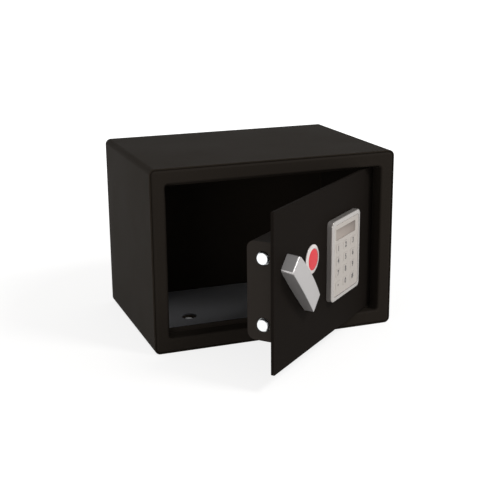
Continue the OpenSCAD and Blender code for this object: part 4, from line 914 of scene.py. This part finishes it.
# %% Room
ROOM_LIGHT, PALE_UP_TO, DARK_FROM, DARK = 0.6, 0.30, 0.65, 0.03
scene = bpy.context.scene
scene.world = bpy.data.worlds.new("studio_room")
scene.world.use_nodes = True
room = Graph(scene.world.node_tree)


def pale_air(strength):
    return room.node("ShaderNodeBackground", {}, {"Color": (1, 1, 1, 1), "Strength": strength})


toward = room.node("ShaderNodeTexCoord", out="Generated")
height = room.node("ShaderNodeSeparateXYZ", {}, {0: toward}, out="Z")
overhead = room.node("ShaderNodeMapRange", {}, {"Value": height, "From Min": PALE_UP_TO,
                                                "From Max": DARK_FROM, "To Min": 1.0, "To Max": DARK})
ray = room.node("ShaderNodeLightPath", out="Is Camera Ray")
mirrored = ray.output("Is Glossy Ray").larger(ray.output("Is Transmission Ray"))
lit = room.node("ShaderNodeMixShader", {}, {0: mirrored, 1: pale_air(ROOM_LIGHT), 2: pale_air(overhead)})
room.show(room.node("ShaderNodeMixShader", {}, {0: ray, 1: lit, 2: pale_air(1.0)}))
print("room")

# %% [markdown]
# ## Lamps
# A large square lamp at the right, in front and above, lights the door and gives the edges their
# thin line of light. A weaker, lower one at the left keeps the left side from going black.


# %% Lamps
def soft_light(name, at, to, size, power):
    data = bpy.data.lights.new(name, "AREA")
    data.shape, data.size, data.energy = "SQUARE", size, power
    lamp = bpy.data.objects.new(name, data)
    lamp.location = at
    lamp.rotation_mode = "QUATERNION"
    lamp.rotation_quaternion = (Vector(to) - Vector(at)).to_track_quat("-Z", "Y")
    scene.collection.objects.link(lamp)


SAFE_MIDDLE = (0, -0.1, 0.1)
soft_light("key_right", (1.15, -1.40, 1.95), SAFE_MIDDLE, 0.6, 30)
soft_light("fill_left", (-1.4, -1.75, 0.30), SAFE_MIDDLE, 0.9, 10)
print("two soft lights")

# %% [markdown]
# ## Camera
# The camera stands where the photograph was taken, found from the corners of the body and the door
# in it. Its direction is given by three angles and its lens by a length in pixels.

# %% Camera
CAMERA_AT, YAW, PITCH, ROLL = (-0.511499, -1.383073, 0.522652), 0.358000, 0.282258, -0.0079969
FOCAL_PIXELS, PICTURE_PIXELS, FILM_MM = 1046.443, 500, 36
ahead = Vector((math.sin(YAW) * math.cos(PITCH), math.cos(YAW) * math.cos(PITCH), -math.sin(PITCH)))
right = Vector((math.cos(YAW), -math.sin(YAW), 0))
up = right.cross(ahead)
side = math.cos(ROLL) * right + math.sin(ROLL) * up
rise = -math.sin(ROLL) * right + math.cos(ROLL) * up
lens = bpy.data.cameras.new("photo_camera")
lens.sensor_width, lens.lens = FILM_MM, FILM_MM * FOCAL_PIXELS / PICTURE_PIXELS
lens.clip_start, lens.clip_end = 0.05, 100
camera = bpy.data.objects.new("photo_camera", lens)
camera.matrix_world = Matrix.Translation(CAMERA_AT) @ Matrix((side, rise, -ahead)).transposed().to_4x4()
scene.collection.objects.link(camera)
scene.camera = camera
scene.view_settings.view_transform = "Standard"
print("camera with a lens of", round(lens.lens, 1), "mm")
